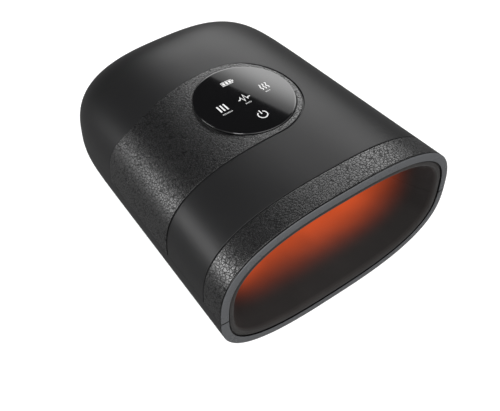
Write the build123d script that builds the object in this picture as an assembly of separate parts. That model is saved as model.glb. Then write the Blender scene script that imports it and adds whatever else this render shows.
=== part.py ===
from build123d import *
import os
from math import cos, pi, sin

# A cordless hand massager. All lengths are millimetres.
# The pieces are drawn with the mouth's front face at y = 0, the rear at +y, and z = 0 at the level
# where the casing is widest. place() moves them so that the origin is under the middle, on the floor.

os.makedirs("parts", exist_ok=True)

# Casing
half_width = 85.0
crown_height = 48.7
belly_depth = 45.6
body_length = 195.2
width_taper_share = 0.15
plan_round_length = 63.7
profile_round_length = 110.9
corner_power = 2.76
rounding_power = 4.5
rear_cap_share = 0.3
wall = 2.4
parting_drop = 2.65
seam = 0.2
overrun = 12.0

# Mouth ring
ring_width = 5.7
ring_depth = 1.4
ring_ease = 0.5
sleeve_fit = 0.3
sleeve_wall = 1.5
sleeve_end = 9.0
retainer_wall = 1.3
retainer_start = 2.2

# Grained strip and inlay
skin = 0.8
glue_line = 0.1
groove = 0.5
band_end = 18.8

# Control glass
disc_y = 92.9
glass_radius = 30.7
glass_gap = 0.3
glass_proud = 0.5
glass_thickness = 1.8
adhesive_thickness = 0.3
ledge_width = 4.0
ledge_thickness = 2.4
well_wall = 2.0
inlay_margin = 4.3
inlay_dip = 5.6
inlay_dip_start_x = 8.0
inlay_dip_x = 62.0
inlay_dip_end_x = 80.0
board_thickness = 1.6
mask_gap = 0.25
led_height = 1.0
led_size = 2.6
icon_reach = 17.0

# Lining and hand chamber
liner = 1.5
hem_front = 0.6
hem_gap = 0.7
throat_y = 50.0
funnel_power = 1.6
chamber_side_space = 22.5
roof_space = 24.05
chamber_power = 4.0
chamber_taper_share = 0.03
liner_rear_gap = 3.4
soft_gap = 0.3

# Press plates, heater films and air bags
node_height = 3.0
node_radius = 6.0
node_margin_x = 15.0
node_margin_y = 9.0
node_columns = 3
node_rows = 5
film = 0.4
film_hole_gap = 0.8
plate = 3.0
plate_side_gap = 23.0
plate_start = 56.0
plate_rear_gap = 11.0
plate_corner = 9.0
bag_margin = 4.5
bag = 4.0
bag_ease = 1.2
bag_port_x = 11.6
bag_port_radius = 1.5

# Chamber frames
frame_wall = 2.0
frame_side_gap = 19.0
frame_slope_width = 24.0
frame_shoulder = 16.0
frame_start = 42.0
rear_bay = 34.2
post_radius = 3.4
post_margin = 12.0
post_front_y = 48.5
post_rear_gap = 6.4
screw_radius = 1.25
screw_fit = 0.05
screw_head_radius = 2.4
screw_head = 1.5
frame_screw_length = 7.0

# Case screws and feet
case_boss_radius = 3.6
case_screw_side_gap = 12.0
case_screw_front_y = 30.0
case_screw_rear_x = 30.0
case_screw_length = 18.0
screw_floor_drop = 12.0
well_gap = 0.3
foot_clearance = 1.5
foot_side_gap = 49.0
foot_front_y = 30.0
foot_rear_gap = 55.2
foot_radius = 7.0
foot_height = 7.5
foot_ease = 0.8
foot_gap = 0.15
foot_seat = 2.0
foot_seat_wall = 1.9

# Battery
cell_radius = 9.2
cell_length = 65.0
cell_gap = 0.25
cell_side_gap = 7.5
cell_ease = 0.8
terminal_radius = 3.0
terminal_height = 0.6
bracket_lip = 1.4
bracket_reach = 1.2
bay_gap = 0.5

# Air pump
motor_x = 17.0
motor_radius = 10.2
motor_length = 25.0
motor_wall = 0.8
magnet_wall = 1.7
magnet_length = 14.0
rotor_radius = 6.9
shaft_radius = 1.0
bush_radius = 2.6
bush_length = 2.0
running_fit = 0.05
head_radius = 11.5
head_length = 9.6
head_wall = 1.6
crank_radius = 3.4
crank_offset = 1.2
crank_length = 2.2
crank_gap = 0.6
wobble_radius = 7.0
wobble_thickness = 2.0
wobble_stub = 2.4
diaphragm = 1.0
cap_length = 4.2
outlet_radius = 1.9
outlet_height = 3.4
cradle_wall = 2.2
cradle_length = 15.0

# Air lines and valve
hose_radius = 1.8
hose_bore = 0.9
hose_bend = 5.0
tee_height = 5.5
tee_depth = 9.0
tee_left_x = 18.4
tee_right_x = 34.0
port_pitch = 4.6
valve_width = 13.0
valve_depth = 11.0
valve_height = 14.0
valve_wall = 1.2
coil_wall = 2.6
plunger_radius = 2.0
plunger_length = 7.0
plunger_fit = 0.08
nozzle_radius = 2.4
nozzle_bore = 0.8
spring_wall = 0.5

# Boards, socket and leads
main_board_width = 54.0
main_board_depth = 17.0
main_board_standoff = 1.6
standoff_radius = 1.6
chip_height = 1.4
chip_size = 9.0
connector_height = 4.0
connector_width = 8.0
socket_width = 8.94
socket_height = 3.26
socket_length = 7.4
socket_wall = 0.35
socket_drop = 11.0
socket_recess = 0.4
tongue_width = 6.6
tongue_height = 0.7
usb_board_width = 17.0
usb_board_length = 10.0
usb_board_thickness = 1.0
shelf_thickness = 2.2
shelf_margin = 1.5
lead_radius = 0.6
lead_pitch = 2.2
lead_bend = 1.6
ribbon_width = 8.0
ribbon_thickness = 0.3
ribbon_bend = 1.5

# Places that follow from the sizes above
plan_round_start = body_length - plan_round_length
profile_round_start = body_length - profile_round_length
chamber_half_width = half_width - chamber_side_space
chamber_top = crown_height - roof_space
chamber_bottom = belly_depth - roof_space
frame_end = body_length - rear_bay
frame_half_width = half_width - frame_side_gap
frame_flat_half_width = frame_half_width - frame_slope_width
liner_end_y = frame_end - liner_rear_gap
plate_end = frame_end - plate_rear_gap
plate_half_width = frame_half_width - plate_side_gap
bag_half_width = plate_half_width - bag_margin
node_spacing_x = 2 * (plate_half_width - node_margin_x) / (node_columns - 1)
node_spacing_y = (plate_end - plate_start - 2 * node_margin_y) / (node_rows - 1)
post_x = frame_flat_half_width - post_margin
post_rear_y = frame_end - post_rear_gap
case_screw_front_x = half_width - case_screw_side_gap
foot_x = half_width - foot_side_gap
foot_rear_y = body_length - foot_rear_gap
cell_left_x = cell_side_gap - frame_half_width
ledge_z = crown_height + glass_proud - glass_thickness - adhesive_thickness
board_z = ledge_z - ledge_thickness
well_radius = glass_radius + glass_gap
window_radius = glass_radius - ledge_width
inlay_radius = glass_radius + inlay_margin + glass_gap
shell_start = ring_depth + seam
sleeve_inset = wall + sleeve_fit
retainer_inset = sleeve_inset + sleeve_wall + seam
hem_inset = ring_width + hem_gap
stack = soft_gap + node_height + film + plate + soft_gap + bag + soft_gap
roof_z = chamber_top + stack
floor_z = -chamber_bottom - stack
frame_top = roof_z + frame_wall
frame_bottom = floor_z - frame_wall
bay_y = frame_end + bay_gap
cell_y = bay_y + bracket_lip + cell_gap + cell_radius
motor_y = bay_y + head_radius + bay_gap
case_screw_rear_y = motor_y + motor_radius + case_boss_radius + soft_gap
rest_z = -belly_depth - foot_clearance
foot_top = rest_z + foot_height
upper_seam_z = -parting_drop + seam / 2
lower_seam_z = -parting_drop - seam / 2


def rear_round(y, start, length):
    """Gives how much of a half size is left where the rear rounds in."""
    along = max(0.0, (y - start) / (length - start))
    return max(0.0, 1 - along ** rounding_power) ** (1 / rounding_power)


def body_sizes(y, inset):
    """Gives the half width, height and depth of the casing's section, drawn in by inset."""
    length = body_length - inset
    width = (half_width - inset) * (1 - width_taper_share * y / body_length)
    rise = rear_round(y, profile_round_start, length)
    width = width * rear_round(y, plan_round_start, length)
    return width, (crown_height - inset) * rise, (belly_depth - inset) * rise


def liner_sizes(y, inset):
    """Gives the half width, height, depth and corner power of the lining's outer face."""
    mouth_width, mouth_top, mouth_bottom = body_sizes(hem_front, hem_inset)
    along = min(1.0, max(0.0, (y - hem_front) / (throat_y - hem_front)))
    left = (1 - along) ** funnel_power
    narrow = 1 - chamber_taper_share * max(0.0, y - throat_y) / (body_length - throat_y)
    width = (chamber_half_width + (mouth_width - chamber_half_width) * left) * narrow
    top = chamber_top + (mouth_top - chamber_top) * left
    bottom = chamber_bottom + (mouth_bottom - chamber_bottom) * left
    power = chamber_power + (corner_power - chamber_power) * left
    return width - inset, top - inset, bottom - inset, power


def evenly(points, count, closed):
    """Gives count points spaced evenly along the line through many points."""
    ends = points[1:] + points[:1] if closed else points[1:]
    steps = [(Vector(b) - Vector(a)).length for a, b in zip(points, ends)]
    pitch = sum(steps) / (count if closed else count - 1)
    result, passed, index = [], 0.0, 0
    for number in range(count):
        while index < len(steps) - 1 and passed + steps[index] < number * pitch:
            passed += steps[index]
            index += 1
        share = (number * pitch - passed) / steps[index]
        result.append(Vector(points[index]) + (Vector(ends[index]) - Vector(points[index])) * share)
    return result


def outline(y, width, top, bottom, power, count=24, samples=720):
    """Gives a rounded-box section as one closed wire that starts under the middle."""
    points = []
    for number in range(samples):
        turn = 2 * pi * number / samples - pi / 2
        across, up = cos(turn), sin(turn)
        tall = top if up >= 0 else bottom
        x = width * abs(across) ** (2 / power) * (1 if across >= 0 else -1)
        z = tall * abs(up) ** (2 / power) * (1 if up >= 0 else -1)
        points.append((x, y, z))
    return Wire([Edge.make_spline(evenly(points, count, True), periodic=True)])


def stations(inset, start, count=16, samples=600):
    """Gives the places along the casing whose sections are lofted, closer where it rounds in."""
    length = body_length - inset
    reach = (1 - rear_cap_share ** rounding_power) ** (1 / rounding_power)
    end = plan_round_start + reach * (length - plan_round_start)
    plan = []
    for number in range(samples + 1):
        y = start + (end - start) * (1 - (1 - number / samples) ** 3)
        plan.append((body_sizes(y, inset)[0], y, 0))
    return [point.Y for point in evenly(plan, count, False)]


def body(inset, start=0.0):
    """Gives the casing's form drawn in by inset, as a closed solid from start to the rear."""
    places = stations(inset, start)
    return Solid.make_loft([outline(y, *body_sizes(y, inset), corner_power) for y in places])


def lining(inset, start, end, count=12):
    """Gives the lining's outer form drawn in by inset, between two places along it."""
    places = [start + (end - start) * (number / (count - 1)) ** 1.4 for number in range(count)]
    return Solid.make_loft([outline(y, *liner_sizes(y, inset)) for y in places])


def block(x0, x1, y0, y1, z0, z1):
    """Gives a box between two corners."""
    middle = Pos((x0 + x1) / 2, (y0 + y1) / 2, (z0 + z1) / 2)
    return middle * Box(x1 - x0, y1 - y0, z1 - z0)


def post(x, y, z0, z1, radius):
    """Gives an upright cylinder."""
    return Pos(x, y, (z0 + z1) / 2) * Cylinder(radius, z1 - z0)


def bar(x0, x1, y, z, radius):
    """Gives a cylinder along x."""
    return Pos((x0 + x1) / 2, y, z) * Rot(0, 90, 0) * Cylinder(radius, x1 - x0)


def rod(x, y0, y1, z, radius):
    """Gives a cylinder along y."""
    return Pos(x, (y0 + y1) / 2, z) * Rot(90, 0, 0) * Cylinder(radius, y1 - y0)


def slab(half, y0, y1, z0, z1, corner):
    """Gives a flat plate with round corners in plan."""
    plan = Pos(0, (y0 + y1) / 2) * RectangleRounded(2 * half, y1 - y0, corner)
    return Pos(0, 0, z0) * extrude(plan, z1 - z0)


def above(z, y0=-overrun, y1=body_length + overrun):
    """Gives a big block over a level."""
    side = half_width + overrun
    return block(-side, side, y0, y1, z, crown_height + overrun)


def below(z, y0=-overrun, y1=body_length + overrun):
    """Gives a big block under a level."""
    side = half_width + overrun
    return block(-side, side, y0, y1, -belly_depth - overrun, z)


def tube(points, radius, bore, bend):
    """Gives a round tube or wire along straight runs joined by arcs."""
    path = FilletPolyline(*points, radius=bend) if len(points) > 2 else Line(*points)
    ring = Circle(radius) - Circle(bore) if bore else Circle(radius)
    plane = Plane(origin=path @ 0, z_dir=path % 0)
    return sweep(plane * ring, path=path)


def save(name, *shapes):
    """Writes the pieces of one node where they belong, with the origin under the middle."""
    solids = []
    for shape in shapes:
        solids.extend(shape.solids())
    moved = [place * solid for solid in solids]
    whole = moved[0] if len(moved) == 1 else Compound(moved)
    export_step(whole, f"parts/{name}.step")


place = Pos(0, -stations(0, 0.0)[-1] / 2, -rest_z)

outer = body(0)
skin_back = body(skin, -overrun)
skin_floor = body(skin + glue_line, -overrun)
mid_wall = body(wall / 2, -overrun)
inner = body(wall, -overrun)


# The two casing halves, with what is moulded on them
def inlay_rear(x):
    """Gives the place along the casing of the inlay's rear edge, which dips towards the shoulder."""
    rise = min(1.0, max(0.0, (-x - inlay_dip_start_x) / (inlay_dip_x - inlay_dip_start_x)))
    fall = min(1.0, max(0.0, (-x - inlay_dip_x) / (inlay_dip_end_x - inlay_dip_x)))
    share = rise * rise * (3 - 2 * rise) - fall * fall * (3 - 2 * fall)
    return disc_y + inlay_radius - inlay_dip * share


def inlay_plan(margin, points=19):
    """Gives the inlay's upright prism: a strip from the left side with a round end."""
    radius = inlay_radius + margin
    side = -half_width - overrun
    places = [side * number / (points - 1) for number in range(points)]
    rear = Spline(*[(x, inlay_rear(x) + margin) for x in places])
    front_y = disc_y - radius
    rest = Polyline(rear @ 1, (side, front_y), (0, front_y), rear @ 0)
    plan = make_face([*rear.edges(), *rest.edges()])
    height = crown_height + overrun - upper_seam_z
    strip = Pos(0, 0, upper_seam_z) * extrude(plan, height)
    return strip + post(0, disc_y, upper_seam_z, crown_height + overrun, radius)


def case_places():
    """Gives the case screws' places in plan."""
    front = [(side * case_screw_front_x, case_screw_front_y) for side in (-1, 1)]
    return front + [(side * case_screw_rear_x, case_screw_rear_y) for side in (-1, 1)]


def foot_places():
    """Gives each foot's name and place in plan."""
    rows = {"front": foot_front_y, "rear": foot_rear_y}
    sides = {"left": -foot_x, "right": foot_x}
    return {f"foot_{row}_{side}": (x, y) for row, y in rows.items() for side, x in sides.items()}


frame_posts = [(side * post_x, y) for side in (-1, 1) for y in (post_front_y, post_rear_y)]
screw_floor = lower_seam_z - screw_floor_drop
screw_tip = screw_floor + case_screw_length

upper_bosses = post(0, disc_y, board_z, crown_height, well_radius + well_wall)
for x, y in frame_posts:
    upper_bosses = upper_bosses + post(x, y, frame_top, crown_height, post_radius)
for x, y in case_places():
    upper_bosses = upper_bosses + post(x, y, upper_seam_z, crown_height, case_boss_radius)

upper_shell = (outer - inner) & above(upper_seam_z, shell_start)
upper_shell = upper_shell + (upper_bosses & mid_wall)
recess = above(upper_seam_z - overrun, shell_start - overrun, band_end) + inlay_plan(groove)
upper_shell = upper_shell - ((recess & above(upper_seam_z - overrun)) - skin_floor)
upper_shell = upper_shell - post(0, disc_y, ledge_z, crown_height + overrun, well_radius)
upper_shell = upper_shell - post(0, disc_y, board_z - overrun, ledge_z, window_radius)
for x, y in frame_posts:
    upper_shell = upper_shell - post(x, y, frame_top, frame_top + frame_screw_length, screw_radius + screw_fit)
for x, y in case_places():
    upper_shell = upper_shell - post(x, y, upper_seam_z, screw_tip + seam, screw_radius + screw_fit)
save("upper_shell", upper_shell)

socket_z = -parting_drop - socket_drop
socket_rear = body_length - socket_recess
usb_board_top = socket_z - socket_height / 2
shelf_top = usb_board_top - usb_board_thickness
shelf_front = socket_rear - socket_length - shelf_margin
shelf_half = usb_board_width / 2 + shelf_margin

lower_bosses = block(-shelf_half, shelf_half, shelf_front, body_length, shelf_top - shelf_thickness, shelf_top)
for x, y in frame_posts:
    lower_bosses = lower_bosses + post(x, y, -belly_depth, frame_bottom, post_radius)
for x, y in case_places():
    lower_bosses = lower_bosses + post(x, y, -belly_depth, lower_seam_z, case_boss_radius)
for x, y in foot_places().values():
    lower_bosses = lower_bosses + post(x, y, -belly_depth, foot_top + foot_seat, foot_radius + foot_seat_wall)

lower_shell = (outer - inner) & below(lower_seam_z, shell_start)
lower_shell = lower_shell + (lower_bosses & mid_wall)
for x, y in frame_posts:
    lower_shell = lower_shell - post(x, y, frame_bottom - frame_screw_length, frame_bottom, screw_radius + screw_fit)
for x, y in case_places():
    lower_shell = lower_shell - post(x, y, screw_floor, lower_seam_z, screw_radius + screw_fit)
    lower_shell = lower_shell - post(x, y, -belly_depth - overrun, screw_floor, screw_head_radius + well_gap)
for x, y in foot_places().values():
    lower_shell = lower_shell - post(x, y, -belly_depth - overrun, foot_top, foot_radius + foot_gap)
socket_hole = RectangleRounded(socket_width + 2 * well_gap, socket_height + 2 * well_gap, socket_height / 2)
socket_cut = Pos(0, shelf_front + shelf_margin, socket_z) * Rot(-90, 0, 0) * extrude(socket_hole, body_length)
lower_shell = lower_shell - socket_cut
save("lower_shell", lower_shell)

# Grained strip, inlay, glass and the parts of the touch panel
band = (outer & above(upper_seam_z, shell_start, band_end - groove)) - skin_back
save("front_band", band)
inlay = (outer & inlay_plan(0)) - skin_back
inlay = inlay - post(0, disc_y, 0, crown_height + overrun, well_radius)
save("leather_inlay", inlay)

glass_top = crown_height + glass_proud
glass = post(0, disc_y, glass_top - glass_thickness, glass_top, glass_radius)
glass = fillet(glass.edges().filter_by(GeomType.CIRCLE).sort_by(Axis.Z)[-1:], glass_gap)
save("control_glass", glass)
adhesive = post(0, disc_y, ledge_z, ledge_z + adhesive_thickness, glass_radius)
adhesive = adhesive - post(0, disc_y, ledge_z, ledge_z + adhesive_thickness, window_radius)
save("glass_adhesive", adhesive)

touch_board = post(0, disc_y, board_z - board_thickness, board_z, well_radius)
save("touch_board", touch_board)
icon_places = [(0, -icon_reach), (0, 0), (icon_reach, 0), (-icon_reach, 0), (0, icon_reach)]
mask = post(0, disc_y, board_z, ledge_z, window_radius - mask_gap)
for x, y in icon_places:
    mask = mask - post(x, disc_y + y, board_z, ledge_z, led_size + mask_gap)
save("light_mask", mask)
leds = []
for x, y in icon_places:
    half = led_size / 2
    led = block(x - half, x + half, disc_y + y - half, disc_y + y + half, board_z, board_z + led_height)
    leds.append(led)
save("status_leds", *leds)

# Mouth ring in two halves, and the ring that clamps the lining's hem
ring_steps = ((0, ring_ease), (ring_ease, 0), (ring_depth, 0))
ring = Solid.make_loft([outline(y, *body_sizes(0, inset), corner_power) for y, inset in ring_steps], True)
opening = [outline(y, *body_sizes(0, ring_width), corner_power) for y in (-overrun, ring_depth + overrun)]
ring = ring - Solid.make_loft(opening, True)


def sleeve(inset, thickness, start, end):
    """Gives a thin ring that follows the casing's section."""
    far = Solid.make_loft([outline(y, *body_sizes(y, inset), corner_power) for y in (start, end)], True)
    cut_ends = (start - overrun, end + overrun)
    near = [outline(y, *body_sizes(y, inset + thickness), corner_power) for y in cut_ends]
    return far - Solid.make_loft(near, True)


ring = ring + sleeve(sleeve_inset, sleeve_wall, ring_ease, sleeve_end)
save("upper_bezel", ring & above(upper_seam_z))
save("lower_bezel", ring & below(lower_seam_z))
save("liner_retainer", sleeve(retainer_inset, retainer_wall, retainer_start, sleeve_end))

# Lining: two panels with a seam at each side, closed at the rear
bag_form = lining(0, hem_front, liner_end_y) - lining(liner, hem_front - liner, liner_end_y - liner)
save("upper_liner", bag_form & above(upper_seam_z))
save("lower_liner", bag_form & below(lower_seam_z))


# Chamber frames: two halves of a box with sloped shoulders and a rear wall
def frame_profile(level, side, inset):
    """Gives one half of the frame's section, drawn in by inset."""
    high = level - side * inset
    shoulder = side * (frame_shoulder - inset / 2)
    seam_z = upper_seam_z if side > 0 else lower_seam_z
    flat = frame_flat_half_width - inset / 2
    edge = frame_half_width - inset
    points = [(-edge, seam_z), (-edge, shoulder), (-flat, high), (flat, high), (edge, shoulder), (edge, seam_z)]
    return Polyline(*points, close=True)


def chamber_frame(level, side, seam_z):
    """Gives one frame half with its rear wall and its screw and port holes."""
    frame = extrude(Plane.XZ * make_face(frame_profile(level, side, 0)), -(frame_end - frame_start))
    frame = Pos(0, frame_start, 0) * frame
    hollow = extrude(Plane.XZ * make_face(frame_profile(level, side, frame_wall)), -(frame_end - frame_start))
    frame = frame - Pos(0, frame_start - frame_wall, 0) * hollow
    inside = block(-frame_half_width + frame_wall, frame_half_width - frame_wall, frame_start - frame_wall,
                   frame_end - frame_wall, seam_z - overrun / 2, seam_z + overrun / 2)
    frame = frame - inside
    for x, y in frame_posts:
        frame = frame - post(x, y, level - overrun, level + overrun, screw_radius + screw_fit)
    port_z = bag_port_z(level - side * frame_wall, side)
    return frame - rod(bag_port_x, frame_end - overrun, frame_end + overrun, port_z, bag_port_radius + soft_gap)


def bag_port_z(ceiling, side):
    """Gives the height of an air bag's port."""
    return ceiling - side * (soft_gap + bag / 2)


save("upper_frame", chamber_frame(frame_top, 1, upper_seam_z))
save("lower_frame", chamber_frame(frame_bottom, -1, lower_seam_z))


def screw(x, y, z, length, side):
    """Gives an upright screw whose head's seat is at z and whose shank points up or down."""
    ends = sorted((z, z + side * (length - seam)))
    head_ends = sorted((z, z - side * screw_head))
    return post(x, y, *ends, screw_radius) + post(x, y, *head_ends, screw_head_radius)


upper_screws = [screw(x, y, roof_z, frame_screw_length + frame_wall, 1) for x, y in frame_posts]
lower_screws = [screw(x, y, floor_z, frame_screw_length + frame_wall, -1) for x, y in frame_posts]
case_screws = [screw(x, y, screw_floor, case_screw_length, 1) for x, y in case_places()]
save("upper_frame_screws", *upper_screws)
save("lower_frame_screws", *lower_screws)
save("case_screws", *case_screws)

# Feet
for name, (x, y) in foot_places().items():
    foot = post(x, y, rest_z, foot_top, foot_radius)
    foot = chamfer(foot.edges().filter_by(GeomType.CIRCLE).sort_by(Axis.Z)[:1], foot_ease)
    save(name, foot)


# Air bags, press plates and heater films, each worked out from the chamber's middle outwards
def node_places():
    """Gives the massage nodes' places in plan."""
    middle_y = (plate_start + plate_end) / 2
    columns = [(number - (node_columns - 1) / 2) * node_spacing_x for number in range(node_columns)]
    rows = [middle_y + (number - (node_rows - 1) / 2) * node_spacing_y for number in range(node_rows)]
    return [(x, y) for x in columns for y in rows]


def press_pieces(face, side):
    """Gives a press plate, its heater film and its air bag, outside the lining's face."""
    tip = face + side * soft_gap
    film_z = tip + side * node_height
    plate_z = film_z + side * film
    bag_z = plate_z + side * (plate + soft_gap)
    ball = (node_radius ** 2 + (node_height + film) ** 2) / (2 * (node_height + film))
    levels = sorted((plate_z, plate_z + side * plate))
    press = slab(plate_half_width, plate_start, plate_end, *levels, plate_corner)
    levels = sorted((film_z, plate_z))
    heater = slab(plate_half_width - plate, plate_start + plate, plate_end - plate, *levels, plate_corner - plate)
    reach = sorted((tip, plate_z))
    for x, y in node_places():
        cap = Pos(x, y, tip + side * ball) * Sphere(ball)
        cap = cap & post(x, y, *reach, node_radius + film_hole_gap / 2)
        press = press + cap
        heater = heater - post(x, y, *levels, node_radius + film_hole_gap)
    levels = sorted((bag_z, bag_z + side * bag))
    pillow = slab(bag_half_width, plate_start, plate_end, *levels, plate_corner)
    pillow = fillet(pillow.edges().filter_by(Plane.XY), bag_ease)
    port_z = bag_z + side * bag / 2
    pillow = pillow + rod(bag_port_x, plate_end - plate_corner, frame_end + bay_gap, port_z, bag_port_radius)
    return press, heater, pillow


for name, face, side in (("upper", chamber_top, 1), ("lower", -chamber_bottom, -1)):
    press, heater, pillow = press_pieces(face, side)
    save(f"{name}_press_plate", press)
    save(f"{name}_heat_film", heater)
    save(f"{name}_airbag", pillow)

# Battery: two cells one over the other in a comb bracket behind the frame
cell_rise = cell_radius + cell_gap
cell_right_x = cell_left_x + cell_length
for name, z in (("battery_cell_upper", cell_rise), ("battery_cell_lower", -cell_rise)):
    cell = bar(cell_left_x, cell_right_x, cell_y, z, cell_radius)
    cell = chamfer(cell.edges().filter_by(GeomType.CIRCLE), cell_ease)
    cell = cell + bar(cell_right_x, cell_right_x + terminal_height, cell_y, z, terminal_radius)
    save(name, cell)
bracket_top = 2 * cell_rise + bracket_reach
bracket_start_x = cell_left_x + cell_ease
bracket_end_x = cell_right_x - cell_ease
bracket = block(bracket_start_x, bracket_end_x, bay_y, cell_y, -bracket_top, bracket_top)
for z in (cell_rise, -cell_rise):
    bracket = bracket - bar(cell_left_x - overrun, cell_right_x + overrun, cell_y, z, cell_radius + cell_gap)
main_board_z = bracket_top + main_board_standoff
main_board_x = bracket_end_x - main_board_width
standoff_y = (bay_y + cell_y) / 2
for x in (main_board_x + standoff_radius, bracket_end_x - standoff_radius):
    bracket = bracket + post(x, standoff_y, bracket_top - bracket_reach / 2, main_board_z, standoff_radius)
save("battery_bracket", bracket)

# Air pump: a small motor whose crank rocks a wobble plate under the diaphragm
motor_end = motor_x + motor_length


def hollow_bar(x0, x1, radius, bore):
    """Gives a tube along x on the motor's axis."""
    return bar(x0, x1, motor_y, 0, radius) - bar(x0, x1, motor_y, 0, bore)


can = bar(motor_x, motor_end, motor_y, 0, motor_radius)
can = can - bar(motor_x + motor_wall, motor_end - motor_wall, motor_y, 0, motor_radius - motor_wall)
can = can - bar(motor_x - overrun, motor_end + overrun, motor_y, 0, bush_radius)
save("pump_motor_can", can)
magnet_outer = motor_radius - motor_wall - running_fit
magnet_mid = (motor_x + motor_end) / 2
magnets = hollow_bar(magnet_mid - magnet_length / 2, magnet_mid + magnet_length / 2, magnet_outer,
                     magnet_outer - magnet_wall)
magnet_gap = block(motor_x, motor_end, motor_y - magnet_wall, motor_y + magnet_wall, -motor_radius, motor_radius)
save("pump_magnets", magnets - magnet_gap)
bush_places = (motor_x, motor_end - bush_length)
bushes = [hollow_bar(x, x + bush_length, bush_radius, shaft_radius + running_fit) for x in bush_places]
save("pump_bushes", *bushes)
head_start = motor_end
crank_start = head_start + head_wall + crank_gap
rotor = bar(motor_x, crank_start + crank_length, motor_y, 0, shaft_radius)
rotor = rotor + bar(magnet_mid - magnet_length / 2, magnet_mid + magnet_length / 2, motor_y, 0, rotor_radius)
rotor = rotor + bar(crank_start, crank_start + crank_length, motor_y, crank_offset, crank_radius)
save("pump_rotor", rotor)
head_end = head_start + head_length
pump_head = bar(head_start, head_end, motor_y, 0, head_radius)
pump_head = pump_head - bar(head_start + head_wall, head_end, motor_y, 0, head_radius - head_wall)
pump_head = pump_head - bar(head_start - overrun, head_end, motor_y, 0, shaft_radius + crank_gap)
save("pump_head", pump_head)
diaphragm_end = head_end + diaphragm
save("pump_diaphragm", bar(head_end, diaphragm_end, motor_y, 0, head_radius))
wobble_start = head_end - wobble_stub - wobble_thickness
wobble = bar(wobble_start, wobble_start + wobble_thickness, motor_y, 0, wobble_radius)
wobble = wobble + bar(wobble_start, head_end, motor_y, 0, shaft_radius)
save("pump_wobble_plate", wobble)
cap_end = diaphragm_end + cap_length
outlet_x = (diaphragm_end + cap_end) / 2
outlet_top = head_radius + outlet_height
pump_cap = bar(diaphragm_end, cap_end, motor_y, 0, head_radius)
pump_cap = pump_cap + post(outlet_x, motor_y, 0, outlet_top, outlet_radius)
pump_cap = pump_cap - post(outlet_x, motor_y, 0, outlet_top, hose_bore)
save("pump_cap", pump_cap)
cradle_x = motor_x + bay_gap
cradle_half = motor_radius + soft_gap + cradle_wall
cradle_end = cradle_x + cradle_length
cradle = block(cradle_x, cradle_end, bay_y, motor_y, -cradle_half, cradle_half)

# Air lines: pump to tee, tee to both bags, and a release valve under the tee
port_z = bag_port_z(roof_z, 1)
low_port_z = bag_port_z(floor_z, -1)
tee_y = motor_y
tee_front, tee_back = tee_y - tee_depth / 2, tee_y + tee_depth / 2
tee_low, tee_high = port_z - tee_height / 2, port_z + tee_height / 2
valve_x = (tee_left_x + tee_right_x) / 2
near_port_y = tee_y - port_pitch / 2
far_port_y = tee_y + port_pitch / 2
tee = block(tee_left_x, tee_right_x, tee_front, tee_back, tee_low, tee_high)
tee = fillet(tee.edges().filter_by(Axis.X), hose_bore)
tee = tee - bar(tee_left_x, valve_x, near_port_y, port_z, hose_bore)
tee = tee - bar(tee_left_x, valve_x, far_port_y, port_z, hose_bore)
tee = tee - bar(valve_x, tee_right_x, tee_y, port_z, hose_bore)
tee = tee - rod(valve_x, near_port_y, far_port_y, port_z, hose_bore)
tee = tee - post(valve_x, tee_y, tee_low, port_z, nozzle_bore)
save("air_tee", tee)
port_y = frame_end + bay_gap
upper_route = [(tee_left_x, near_port_y, port_z), (bag_port_x, near_port_y, port_z), (bag_port_x, port_y, port_z)]
lower_route = [(tee_left_x, far_port_y, port_z), (bag_port_x, far_port_y, port_z),
               (bag_port_x, far_port_y, low_port_z), (bag_port_x, port_y, low_port_z)]
pump_route = [(outlet_x, motor_y, outlet_top), (outlet_x, motor_y, outlet_top + 2 * hose_bend),
              (tee_right_x + 2 * hose_bend, motor_y, port_z), (tee_right_x, motor_y, port_z)]
save("upper_bag_hose", tube(upper_route, hose_radius, hose_bore, hose_bend))
save("lower_bag_hose", tube(lower_route, hose_radius, hose_bore, hose_bend))
save("pump_hose", tube(pump_route, hose_radius, hose_bore, hose_bend))

valve_top = tee_low
nozzle_z = valve_top - valve_wall
valve_base = valve_top - valve_height
valve_left, valve_right = valve_x - valve_width / 2, valve_x + valve_width / 2
valve_front, valve_back = tee_y - valve_depth / 2, tee_y + valve_depth / 2
yoke = block(valve_left, valve_right, valve_front, valve_back, valve_base, valve_top)
yoke = yoke - block(valve_left + valve_wall, valve_right - valve_wall, valve_front - overrun, valve_back + overrun,
                    valve_base + valve_wall, nozzle_z)
yoke = yoke - post(valve_x, tee_y, nozzle_z, valve_top, nozzle_radius)
save("valve_yoke", yoke)
cradle = cradle + block(cradle_x, cradle_end, bay_y, bay_y + cradle_wall, 0, valve_base)
cradle = cradle + block(cradle_x, cradle_end, bay_y, valve_back, valve_base - cradle_wall, valve_base)
cradle = cradle - bar(cradle_x - overrun, motor_end + overrun, motor_y, 0, motor_radius + soft_gap)
save("pump_cradle", cradle)
plunger_bore = plunger_radius + plunger_fit
coil_base = valve_base + valve_wall
coil = post(valve_x, tee_y, coil_base, nozzle_z, plunger_bore + coil_wall)
coil = coil - post(valve_x, tee_y, coil_base, nozzle_z, plunger_bore)
save("valve_coil", coil)
nozzle_seat = nozzle_z - valve_wall
nozzle = post(valve_x, tee_y, nozzle_z, valve_top, nozzle_radius)
nozzle = nozzle + post(valve_x, tee_y, nozzle_seat, nozzle_z, plunger_radius)
nozzle = nozzle - post(valve_x, tee_y, nozzle_seat, valve_top, nozzle_bore)
save("valve_nozzle", nozzle)
plunger_top = nozzle_seat
save("valve_plunger", post(valve_x, tee_y, plunger_top - plunger_length, plunger_top, plunger_radius))
spring = post(valve_x, tee_y, coil_base, plunger_top - plunger_length, plunger_radius)
spring = spring - post(valve_x, tee_y, coil_base, plunger_top - plunger_length, plunger_radius - spring_wall)
save("valve_spring", spring)

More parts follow.
